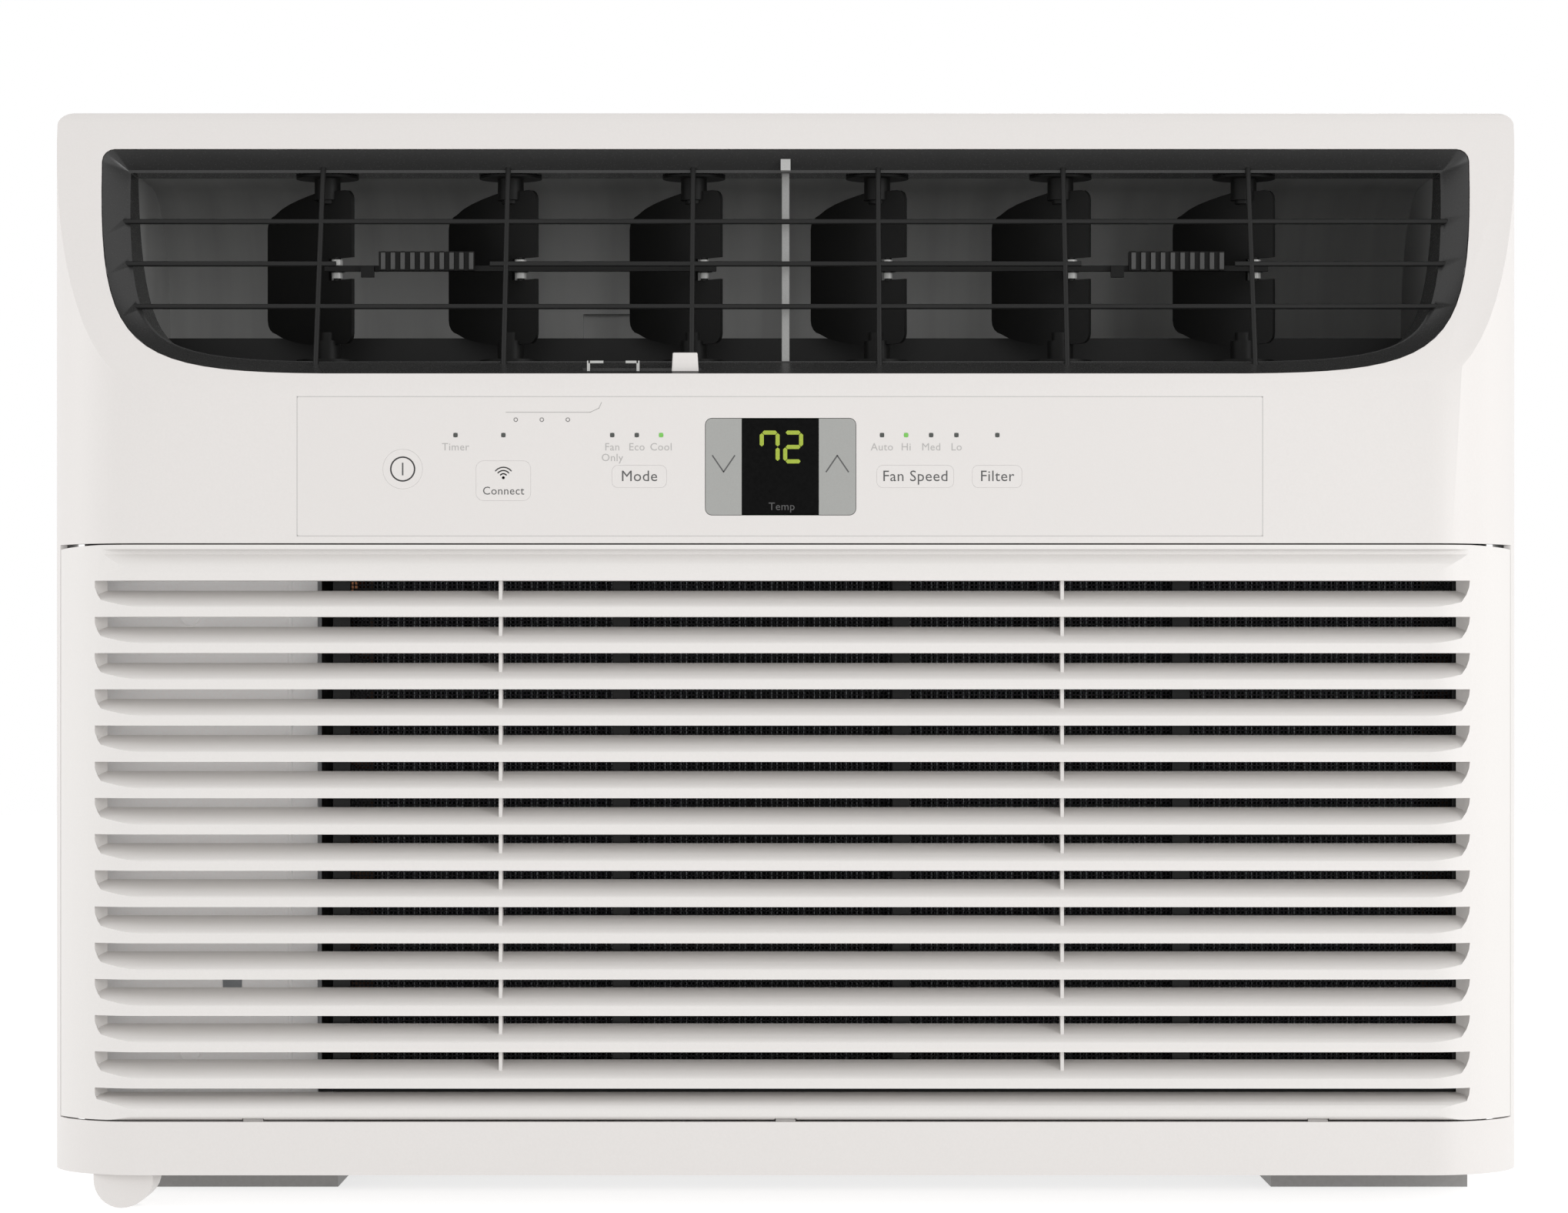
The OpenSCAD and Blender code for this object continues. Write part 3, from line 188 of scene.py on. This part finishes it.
WHITE = surface("white_plastic", (0.612, 0.589, 0.573), 0.45, tone=0.012, grain=1400, bump=0.05)
GRILLE_WHITE = surface("grille_plastic", (0.628, 0.608, 0.591), 0.48, tone=0.012, grain=1400, bump=0.05)
FILM = surface("overlay_film", (0.606, 0.583, 0.567), 0.5, tone=0.01, grain=2200, bump=0.06)
LINE_GREY = surface("printed_line", (0.42, 0.41, 0.40), 0.5, tone=0.06, grain=3000, bump=0)
PALE_PRINT = surface("pale_print", (0.36, 0.35, 0.34), 0.5, tone=0.06, grain=3000, bump=0)
DARK_PRINT = surface("dark_print", (0.07, 0.07, 0.07), 0.5, tone=0.1, grain=3000, bump=0)
DIM_PRINT = surface("dim_print", (0.055, 0.055, 0.055), 0.5, tone=0.1, grain=3000, bump=0)
LAMP_DARK = surface("lamp_dark", (0.05, 0.055, 0.05), 0.25, tone=0.1, grain=3000, bump=0)
KEY_GREY = surface("key_grey", (0.29, 0.292, 0.28), 0.45, tone=0.02, grain=1800, bump=0.06)
GLOSS_BLACK = surface("display_black", (0.004, 0.004, 0.004), 0.3, tone=0.2, grain=700, bump=0, sheen=0.03)
BEZEL = surface("bezel_dark", (0.022, 0.022, 0.0217), 0.26, tone=0.06, grain=1200, bump=0.02, sheen=0.4)
VANE_BLACK = surface("vane_black", (0.006, 0.006, 0.0057), 0.5, tone=0.1, grain=1200, bump=0.04, sheen=0.16)
WIRE_BLACK = surface("wire_black", (0.008, 0.008, 0.0078), 0.4, tone=0.08, grain=1500, bump=0.03, sheen=0.25)
GRIP_GREY = surface("grip_grey", (0.045, 0.045, 0.044), 0.45, tone=0.08, grain=1500, bump=0.05)
CLIP_GREY = surface("clip_grey", (0.36, 0.36, 0.35), 0.35, tone=0.05, grain=1500, bump=0.03)
# painted shade: the centre post, white plastic like the panel, is painted grey as the shade in the discharge mouth
POST_PAINTED_SHADE = surface("post_painted_shade", (0.24, 0.24, 0.235), 0.4, tone=0.06, grain=1500, bump=0.03)
DUCT = surface("duct_grey", (0.36, 0.36, 0.355), 0.7, tone=0.12, grain=60, bump=0.03,
               stretch=(1, 0.05, 0.05), sheen=0.2)
# painted light: the grille's cover gets a colour paler than the front's white and a faint white glow, standing in
# for light that reaches it through the slots
COVER_PAINTED_LIGHT = surface("cover_painted_light", (0.90, 0.88, 0.87), 0.6, tone=0.02, grain=900, bump=0.03, glow=0.1)
# painted shade: the cabinet's floor and feet, light grey painted steel, are darkened to the shade under the unit
FOOT_PAINTED_SHADE = surface("foot_painted_shade", (0.24, 0.235, 0.23), 0.5, tone=0.05, grain=500, bump=0.1)
# painted shade: the evaporator's copper tubes are darkened to the dark seen behind the grille's slots
PAINTED_SHADE_COPPER = surface("copper_painted_shade", (0.10, 0.05, 0.03), 0.5, metallic=0.4, tone=0.12, grain=240, bump=0.03)
FLOOR = surface("floor_paint", (0.42, 0.42, 0.42), 0.8, tone=0.01, grain=3, bump=0, sheen=0.1, glow=0.72)
FOAM = surface("housing_foam", (0.72, 0.72, 0.70), 0.9, tone=0.06, grain=420, bump=0.5)
PAINT = surface("cabinet_paint", (0.58, 0.576, 0.565), 0.42, tone=0.015, grain=650, bump=0.12, coat=0.1)
ZINC = surface("galvanised", (0.55, 0.56, 0.57), 0.38, metallic=0.9, tone=0.22, grain=70, bump=0.04)
MOTOR = surface("motor_paint", (0.10, 0.11, 0.12), 0.4, tone=0.05, grain=500, bump=0.1)
BLACK_PAINT = surface("black_paint", (0.012, 0.012, 0.013), 0.25, tone=0.1, grain=400, bump=0.08, coat=0.3)
FIN = surface("fin_aluminium", (0.72, 0.74, 0.76), 0.32, metallic=1, tone=0.05, grain=300, bump=0.02)
COPPER = surface("copper", (0.66, 0.29, 0.15), 0.3, metallic=1, tone=0.12, grain=240, bump=0.03)
STEEL = surface("shaft_steel", (0.55, 0.56, 0.58), 0.25, metallic=1, tone=0.05, grain=900, bump=0.03,
                stretch=(1, 0.1, 1))
RUBBER = surface("rubber", (0.02, 0.02, 0.02), 0.75, tone=0.15, grain=900, bump=0.2)
FAN_BLACK = surface("fan_plastic", (0.028, 0.028, 0.03), 0.45, tone=0.07, grain=900, bump=0.05)
NET = surface("filter_net", (0.02, 0.02, 0.022), 0.7, tone=0.15, grain=1500, bump=0)
BOARD = surface("circuit_board", (0.02, 0.14, 0.05), 0.35, tone=0.15, grain=350, bump=0.05)
LIT = glowing("display_lit", (0.175, 0.225, 0.015), 0.75)
LAMP_GREEN = glowing("lamp_green", (0.10, 0.30, 0.05), 0.6)

LOOKS = {
    "cabinet_shell": PAINT, "cabinet_floor": FOOT_PAINTED_SHADE, "rear_guard": PAINT, "cabinet_screws": STEEL,
    "drain_nipple": RUBBER, "base_pan": ZINC, "front_panel": WHITE, "louver_bezel": BEZEL,
    "louver_grid": WIRE_BLACK, "control_overlay": FILM, "display_window": GLOSS_BLACK,
    "indicator_lights": LAMP_DARK, "control_board": BOARD, "discharge_duct": DUCT, "blower_housing": FOAM,
    "inlet_ring": DUCT, "evaporator_fins": FIN, "evaporator_tubes": PAINTED_SHADE_COPPER, "drip_tray": FOAM,
    "control_box": ZINC, "control_box_cover": COVER_PAINTED_LIGHT, "run_capacitor": FIN, "bulkhead": ZINC,
    "fan_motor": MOTOR, "motor_mount": ZINC, "compressor": BLACK_PAINT, "centre_post": POST_PAINTED_SHADE,
    "compressor_mounts": RUBBER, "suction_line": COPPER, "discharge_line": COPPER,
    "capillary_line": COPPER, "filter_drier": COPPER, "condenser_fins": FIN, "condenser_tubes": COPPER,
    "condenser_shroud": MOTOR, "cord_outlet": WHITE, "intake_grille": GRILLE_WHITE,
    "filter_frame": WIRE_BLACK, "filter_mesh": NET, "grille_hinge_pins": STEEL, "fan_shaft": STEEL,
    "blower_wheel": FAN_BLACK, "condenser_fan": FAN_BLACK, "vane_link_left": VANE_BLACK,
    "vane_link_right": VANE_BLACK, "key_power": FILM, "key_connect": FILM, "key_mode": FILM,
    "key_fan": FILM, "key_filter": FILM, "key_temp_down": KEY_GREY, "key_temp_up": KEY_GREY,
    "vent_lever": WHITE, "vent_door": DUCT,
}
VANES = [f"vane_{side}_{i}" for side in ("left", "right") for i in (1, 2, 3)]
LINK_OF = {node: "vane_link_" + node.split("_")[1] for node in VANES}

# ---------------------------------------------------------------- building pieces

slot_of = {s["node"]: s["material_slot"] for s in frame["record"]["subparts"]}
body_of = {n: b for b, ns in frame["record"]["behaviour"]["bodies"].items() for n in ns}


def piece(name, vertices, faces, look, body, slot, smooth=None):
    """A mesh piece that rides on a body. smooth is the angle above which an edge stays sharp."""
    mesh = bpy.data.meshes.new(name)
    mesh.from_pydata([tuple(v) for v in vertices], [], faces)
    mesh.materials.append(look)
    if smooth is not None:
        mesh.polygons.foreach_set("use_smooth", [True] * len(mesh.polygons))
        mesh.set_sharp_from_angle(angle=math.radians(smooth))
    obj = bpy.data.objects.new(name, mesh)
    bpy.context.scene.collection.objects.link(obj)
    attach(obj, body)
    return obj


MERGE_DISTANCE = 0.005 * MM
FLAT_ANGLE = 0.4  # degrees between facets that are joined as flat


def refine(node, bevel, smooth=32, look=None):
    """Stands a copy of a CAD node in for it: flat facets joined, curves smooth and edges rounded.

    bevel is the rounding's width in millimetres, or 0 for none.
    """
    mesh = bmesh.new()
    mesh.from_mesh(frame["nodes"][node].data)
    bmesh.ops.remove_doubles(mesh, verts=mesh.verts, dist=MERGE_DISTANCE)
    bmesh.ops.dissolve_limit(mesh, angle_limit=math.radians(FLAT_ANGLE), verts=mesh.verts, edges=mesh.edges)
    mesh.verts.index_update()
    vertices = [v.co.copy() for v in mesh.verts]
    faces = [[v.index for v in f.verts] for f in mesh.faces]
    mesh.free()
    obj = piece(node + "_shown", vertices, faces, look or LOOKS[node], body_of[node], slot_of[node], smooth)
    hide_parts(node)
    if bevel:
        rounded = obj.modifiers.new("rounded", "BEVEL")
        rounded.width = bevel * MM
        rounded.segments = 2
        rounded.limit_method = "ANGLE"
        rounded.angle_limit = math.radians(smooth)
        rounded.harden_normals = True
        rounded.use_clamp_overlap = True
    return obj


def box_mesh(low, high):
    """Vertices and faces of a box."""
    vertices = [(x, y, z) for z in (low[2], high[2]) for y in (low[1], high[1]) for x in (low[0], high[0])]
    faces = [(0, 2, 3, 1), (4, 5, 7, 6), (0, 1, 5, 4), (2, 6, 7, 3), (0, 4, 6, 2), (1, 3, 7, 5)]
    return vertices, faces


def cylinder(centre, radius, z0, z1, sides):
    """Vertices and faces of an upright cylinder round a centre in X and Y."""
    angles = [2 * math.pi * i / sides for i in range(sides)]
    circle = [(centre[0] + radius * math.cos(a), centre[1] + radius * math.sin(a)) for a in angles]
    vertices = [(x, y, z) for z in (z0, z1) for x, y in circle]
    faces = [tuple(range(sides - 1, -1, -1)), tuple(range(sides, 2 * sides))]
    faces += [(i, (i + 1) % sides, (i + 1) % sides + sides, i + sides) for i in range(sides)]
    return vertices, faces


def joined(parts):
    """Several (vertices, faces) lists as one."""
    vertices, faces = [], []
    for v, f in parts:
        start = len(vertices)
        vertices += list(v)
        faces += [tuple(i + start for i in face) for face in f]
    return vertices, faces


def middle(node):
    """The middle of a CAD node's box."""
    low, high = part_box(node)
    return (low + high) / 2


# ---------------------------------------------------------------- print on the front face

PRINT_FRONT = FACE - 0.03 * MM
PRINT_BACK = FACE + 0.05 * MM
LETTER_DEPTH = 0.02 * MM  # half the thickness of a letter
SMALL_LETTERS = 4.3 * MM
KEY_LETTERS = 6.2 * MM


def plate(outline):
    """A flat patch of print whose outline is a list of (x, z)."""
    n = len(outline)
    vertices = [(x, y, z) for y in (PRINT_FRONT, PRINT_BACK) for x, z in outline]
    faces = [tuple(range(n)), tuple(range(2 * n - 1, n - 1, -1))]
    faces += [(i, i + n, (i + 1) % n + n, (i + 1) % n) for i in range(n)]
    return vertices, faces


def stroke(points, width):
    """A printed line of one width along points in X and Z, each part a little longer to close the corners."""
    parts = []
    for (ax, az), (bx, bz) in zip(points, points[1:]):
        along = Vector((bx - ax, bz - az)).normalized()
        side = Vector((-along.y, along.x)) * width / 2
        ends = along * width * 0.25
        a = Vector((ax, az)) - ends
        b = Vector((bx, bz)) + ends
        parts.append(plate([tuple(a + side), tuple(b + side), tuple(b - side), tuple(a - side)]))
    return joined(parts)


def ring(x, z, radius, width, steps, start=0, end=360):
    """A printed circle, or an arc between two angles in degrees."""
    angles = [math.radians(start + (end - start) * i / steps) for i in range(steps + 1)]
    return stroke([(x + radius * math.cos(a), z + radius * math.sin(a)) for a in angles], width)


def printed(name, mesh, look, body="chassis"):
    """A piece of print on the front face."""
    return piece(name, *mesh, look, body, "overlay_film")


def word(name, text, x, z, height, look, body="chassis"):
    """A generic printed word, centred on x with its small letters' middle near z."""
    curve = bpy.data.curves.new(name, "FONT")
    curve.body = text
    curve.size = height
    curve.align_x = "CENTER"
    curve.align_y = "CENTER"
    curve.extrude = LETTER_DEPTH
    curve.resolution_u = 3
    curve.space_character = 1.05
    source = bpy.data.objects.new(name + "_source", curve)
    bpy.context.scene.collection.objects.link(source)
    bpy.context.view_layer.update()
    mesh = bpy.data.meshes.new_from_object(source)
    bpy.data.objects.remove(source)
    place = Matrix.Translation((x, PRINT_FRONT + LETTER_DEPTH, z))
    mesh.transform(place @ Matrix.Rotation(math.pi / 2, 4, "X"))
    mesh.materials.clear()
    mesh.materials.append(look)
    mesh.name = name
    obj = bpy.data.objects.new(name, mesh)
    bpy.context.scene.collection.objects.link(obj)
    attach(obj, body)
    return obj


# ---------------------------------------------------------------- front

def make_front():
    """The panel's own parts with rounded edges, and the thin line round the overlay."""
    refine("front_panel", 0.5, 28)
    refine("control_overlay", 0)
    refine("intake_grille", 0.3, 28)
    refine("louver_bezel", 0.4, 30)
    refine("louver_grid", 0)
    refine("control_box_cover", 0.3)
    refine("cord_outlet", 0.8, 28)
    refine("vent_lever", 0.5)
    low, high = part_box("control_overlay")
    edge = [(low.x, low.z), (high.x, low.z), (high.x, high.z), (low.x, high.z), (low.x, low.z)]
    printed("overlay_border", stroke(edge, 0.3 * MM), LINE_GREY)


def make_mouth():
    """Small things on the discharge mouth: the post's clip, a dark sill behind the vanes that also paints the
    shade low in the mouth, and the vent's marks.
    """
    low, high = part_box("centre_post")
    x = (low.x + high.x) / 2
    half = 2 * MM
    height = 4.6 * MM
    clip = box_mesh((x - half, high.y - 9.6 * MM, high.z), (x + half, high.y - 4 * MM, high.z + height))
    piece("post_clip", *clip, CLIP_GREY, "chassis", "panel_plastic")
    refine("centre_post", 0.4)
    make_sill_and_shade()
    make_vent_marks()


def make_sill_and_shade():
    """A thin dark strip behind the vanes' sweep, standing on the duct's floor: partly a sill, partly painted shade
    low in the mouth.
    """
    low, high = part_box("discharge_duct")
    side_gap = 3 * MM
    y1 = FACE + 100.3 * MM
    y0 = y1 - 0.3 * MM
    sill = box_mesh((low.x + side_gap, y0, low.z + 3 * MM), (high.x - side_gap, y1, low.z + 15 * MM))
    # a 0.3 mm black sheet: partly a sill, partly painted shade at the bottom of the mouth
    piece("sill_painted_shade", *sill, WIRE_BLACK, "chassis", "dark_plastic")


def make_vent_marks():
    """The vent's two bracket marks on the lower lip, left of the lever and in front of its path."""
    front = FACE + 3 * MM
    back = front + 0.9 * MM
    half = 0.6 * MM
    low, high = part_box("vent_lever")
    top = high.z - 3.4 * MM
    right = low.x - 10 * MM
    left = right - 20 * MM
    marks = []
    for x, x0, x1 in ((left, left, left + 6 * MM), (right, right - 5 * MM, right)):
        marks.append(box_mesh((x - half, front, top - 4.2 * MM), (x + half, back, top)))
        marks.append(box_mesh((x0, front, top - 1 * MM), (x1, back, top)))
    piece("vent_marks", *joined(marks), CLIP_GREY, "chassis", "panel_plastic")


def lamp(name, x, z, look):
    """A square lamp, proud of the panel by as much as the print is."""
    half = 0.85 * MM
    mesh = box_mesh((x - half, PRINT_FRONT, z - half), (x + half, FACE + 1.5 * MM, z + half))
    return piece(name, *mesh, look, "chassis", "dark_plastic")


LIT_LAMPS = (4, 6)


def make_lamps():
    """One square lamp at each light guide, two of them lit. Returns the lamps' X places and their height."""
    node = frame["nodes"]["indicator_lights"]
    xs = sorted({round(v.co.x, 4) for v in node.data.vertices})
    centres, group = [], [xs[0]]
    for x in xs[1:]:
        if x - group[-1] > 2 * MM:  # the next light guide begins
            centres.append((group[0] + group[-1]) / 2)
            group = []
        group.append(x)
    centres.append((group[0] + group[-1]) / 2)
    z = middle("indicator_lights").z
    for i, x in enumerate(centres):
        shown = lamp(f"lamp_{i + 1}", x, z, LAMP_GREEN if i in LIT_LAMPS else LAMP_DARK)
    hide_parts("indicator_lights")
    return centres, z


def make_labels():
    """The lamps with the small words under them, the print on the keys and the rule over the lamps."""
    lamps, lamp_z = make_lamps()
    low_z = lamp_z - 4.9 * MM
    for i, text in ((0, "Timer"), (3, "Eco"), (4, "Cool"), (5, "Auto"), (6, "Hi"), (7, "Med"), (8, "Lo")):
        word("label_" + text.lower(), text, lamps[i], low_z, SMALL_LETTERS, PALE_PRINT)
    word("label_fan", "Fan", lamps[2], low_z, SMALL_LETTERS, PALE_PRINT)
    word("label_only", "Only", lamps[2], low_z - SMALL_LETTERS, SMALL_LETTERS, PALE_PRINT)
    make_key_print()
    make_rule(lamps[1] + 1 * MM, lamp_z + 9.2 * MM)


def make_key_print():
    """The words on the keys, and the signs for the wireless connection and for power."""
    for key, text in (("key_mode", "Mode"), ("key_fan", "Fan Speed"), ("key_filter", "Filter")):
        at = middle(key)
        word("word_" + key.removeprefix("key_"), text, at.x, at.z, KEY_LETTERS, DARK_PRINT, key)
    at = middle("key_connect")
    word("word_connect", "Connect", at.x, at.z - 4.2 * MM, 4.6 * MM, DARK_PRINT, "key_connect")
    z = at.z + 1.2 * MM
    arcs = [ring(at.x, z, radius * MM, 0.5 * MM, 14, start=40, end=140) for radius in (1.6, 2.9, 4.2)]
    dot = ring(at.x, z, 0.3 * MM, 0.6 * MM, 10)
    printed("icon_wireless", joined(arcs + [dot]), DARK_PRINT, "key_connect")
    at = middle("key_power")
    line = 0.6 * MM
    half = 2.4 * MM
    bar = stroke([(at.x, at.z - half), (at.x, at.z + half)], line)
    circle = ring(at.x, at.z, 4.8 * MM, line, 48)
    printed("icon_power", joined([bar, circle]), DARK_PRINT, "key_power")


def make_rule(left, z):
    """A thin rule above the connection lamp, bent up at its right end, with three round marks below it."""
    points = [(left + dx * MM, z + dz * MM) for dx, dz in ((0, 0), (34, 0), (37.5, 1.6), (38.6, 4))]
    marks = [ring(left + dx * MM, z - 3 * MM, 0.75 * MM, 0.35 * MM, 12) for dx in (4, 14.5, 25)]
    printed("rule_and_marks", joined([stroke(points, 0.3 * MM)] + marks), PALE_PRINT)


# segment name: start and end in half-digit units from the digit's centre
SEGMENTS = {
    "a": ((-1, 2), (1, 2)), "b": ((1, 2), (1, 0)), "c": ((1, 0), (1, -2)), "d": ((-1, -2), (1, -2)),
    "e": ((-1, 0), (-1, -2)), "f": ((-1, 2), (-1, 0)), "g": ((-1, 0), (1, 0)),
}


def segment(x, z, half_w, half_h, width, key):
    """One bar with pointed ends, between two corners of a digit."""
    (ax, az), (bx, bz) = SEGMENTS[key]
    a = Vector((x + ax * half_w, z + az * half_h / 2))
    b = Vector((x + bx * half_w, z + bz * half_h / 2))
    along = (b - a).normalized()
    side = Vector((-along.y, along.x)) * width / 2
    gap = along * width * 0.12
    taper = along * width * 0.55
    points = [a + gap, a + taper + side, b - taper + side, b - gap, b - taper - side, a + taper - side]
    return plate([tuple(p) for p in points])


def make_display():
    """The display with its two digits, and the keys: chevrons on the two beside it, the others plain."""
    refine("display_window", 0.15)
    low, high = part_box("display_window")
    centre_x = (low.x + high.x) / 2
    digit_z = high.z - 11.2 * MM
    half_w, half_h, width = 3.2 * MM, 5.8 * MM, 1.65 * MM
    digits = (("digit_tens", centre_x - 4.25 * MM, "abcf"), ("digit_units", centre_x + 5.2 * MM, "abged"))
    for name, x, keys in digits:
        bars = joined([segment(x, digit_z, half_w, half_h, width, k) for k in keys])
        piece(name, *bars, LIT, "chassis", "display_gloss")
    word("label_temp", "Temp", centre_x + 0.6 * MM, low.z + 3.0 * MM, 4.4 * MM, DIM_PRINT)
    for node, way in (("key_temp_down", -1), ("key_temp_up", 1)):
        refine(node, 0.25)
        at = middle(node)
        half, rise = 4.5 * MM, 3.3 * MM
        z = at.z + 1.2 * MM
        line = [(at.x - half, z - way * rise), (at.x, z + way * rise), (at.x + half, z - way * rise)]
        printed("chevron_" + node.removeprefix("key_temp_"), stroke(line, 0.55 * MM), DARK_PRINT, node)
    for node in ("key_power", "key_connect", "key_mode", "key_fan", "key_filter"):
        refine(node, 0)


# ---------------------------------------------------------------- vanes

LINK_REACH = 6 * MM  # from a vane's pivot to the pin that its link snaps on
NECK_RADIUS = 5.4 * MM
DISC_RADIUS = 13 * MM
SLIM_CLIPS = ("vane_left_3", "vane_right_1")


def make_vanes():
    """Each vane with its neck, collar and bearing discs, and each link with its clips, grip and stop."""
    joints = {j["child"]: j for j in frame["joints"]}
    for node in VANES:
        refine(node, 0.35, 28, VANE_BLACK)
        x, y = joints[node]["pos_m"][:2]
        low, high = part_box(node)
        neck = cylinder((x, y), NECK_RADIUS, high.z - 12.5 * MM, high.z - 3.4 * MM, 28)
        disc = cylinder((x, y), DISC_RADIUS, high.z - 3.7 * MM, high.z - 2.7 * MM, 48)
        foot = cylinder((x, y), DISC_RADIUS, low.z + 5.4 * MM, low.z + 6.4 * MM, 48)
        collar = cylinder((x, y), NECK_RADIUS, low.z + 5.4 * MM, low.z + 14.5 * MM, 28)
        rounds = joined([neck, disc, foot, collar])
        piece(node + "_neck", *rounds, VANE_BLACK, body_of[node], "dark_plastic", 40)
        turn = math.atan2(high.x - low.x, high.y - low.y)
        pin = (x + LINK_REACH * math.sin(turn), y - LINK_REACH * math.cos(turn))
        link = LINK_OF[node]
        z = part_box(link)[0].z + 1.2 * MM
        radius = (1.8 if node in SLIM_CLIPS else 2.3) * MM
        clips = [cylinder(pin, radius, z + a * MM, z + b * MM, 20) for a, b in ((1.5, 3.9), (-3.9, -1.5))]
        piece(node + "_clips", *joined(clips), CLIP_GREY, body_of[link], "dark_plastic", 40)
    for link in ("vane_link_left", "vane_link_right"):
        refine(link, 0.15)
        make_grip(link)


def make_grip(link):
    """Paler caps on the ribs of a link's thumb grip, and the stop below the bar on its left."""
    data = frame["nodes"][link].data
    front = min(v.co.y for v in data.vertices)
    # the X of the ribs' two sides, in pairs
    ribs = sorted({round(v.co.x, 5) for v in data.vertices if v.co.y < front + 0.2 * MM})
    top = max(v.co.z for v in data.vertices)
    low_z = min(v.co.z for v in data.vertices)
    caps = [box_mesh((a, front - 0.1 * MM, low_z + 0.6 * MM), (b, front + 0.3 * MM, top - 0.6 * MM))
            for a, b in zip(ribs[::2], ribs[1::2])]
    piece(link + "_caps", *joined(caps), GRIP_GREY, body_of[link], "dark_plastic")
    stop = box_mesh((ribs[0] - 8.4 * MM, front + 1 * MM, low_z - 2.6 * MM),
                    (ribs[0] - 3 * MM, front + 4 * MM, low_z + 2 * MM))
    piece(link + "_stop", *stop, VANE_BLACK, body_of[link], "dark_plastic")


# ---------------------------------------------------------------- coils and filter

FIN_PITCH = 2.2 * MM
FIN_THICKNESS = 0.25 * MM


def fin_pack(node):
    """Thin upright fins across a coil's width, in place of its solid block."""
    low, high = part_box(node)
    count = int((high.x - low.x) / FIN_PITCH)
    start = (low.x + high.x - (count - 1) * FIN_PITCH) / 2
    half = FIN_THICKNESS / 2
    middles = [start + i * FIN_PITCH for i in range(count)]
    parts = [box_mesh((x - half, low.y, low.z), (x + half, high.y, high.z)) for x in middles]
    obj = piece(node + "_shown", *joined(parts), FIN, body_of[node], slot_of[node])
    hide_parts(node)


def make_net():
    """Crossed threads in place of the filter's net."""
    low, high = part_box("filter_mesh")
    step, thread = 1.6 * MM, 0.5 * MM
    parts = []
    for i in range(int((high.x - low.x) / step) + 1):
        x = low.x + i * step
        parts.append(box_mesh((x, low.y, low.z), (x + thread, high.y, high.z)))
    for i in range(int((high.z - low.z) / step) + 1):
        z = low.z + i * step
        parts.append(box_mesh((low.x, low.y, z), (high.x, high.y, z + thread)))
    net = piece("filter_mesh_shown", *joined(parts), NET, "grille", "filter_net")
    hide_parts("filter_mesh")


# ---------------------------------------------------------------- everything

make_camera()
make_studio()
for node, look in LOOKS.items():
    data = frame["nodes"][node].data
    data.materials.clear()
    data.materials.append(look)
make_front()
make_display()
make_labels()
make_vanes()
make_mouth()
fin_pack("condenser_fins")
fin_pack("evaporator_fins")
make_net()
for node in ("cabinet_shell", "cabinet_floor", "base_pan", "rear_guard", "bulkhead", "condenser_shroud",
             "discharge_duct", "filter_frame", "compressor", "fan_motor", "blower_wheel", "condenser_fan"):
    refine(node, 0.2 if node == "cabinet_shell" else 0, 30)
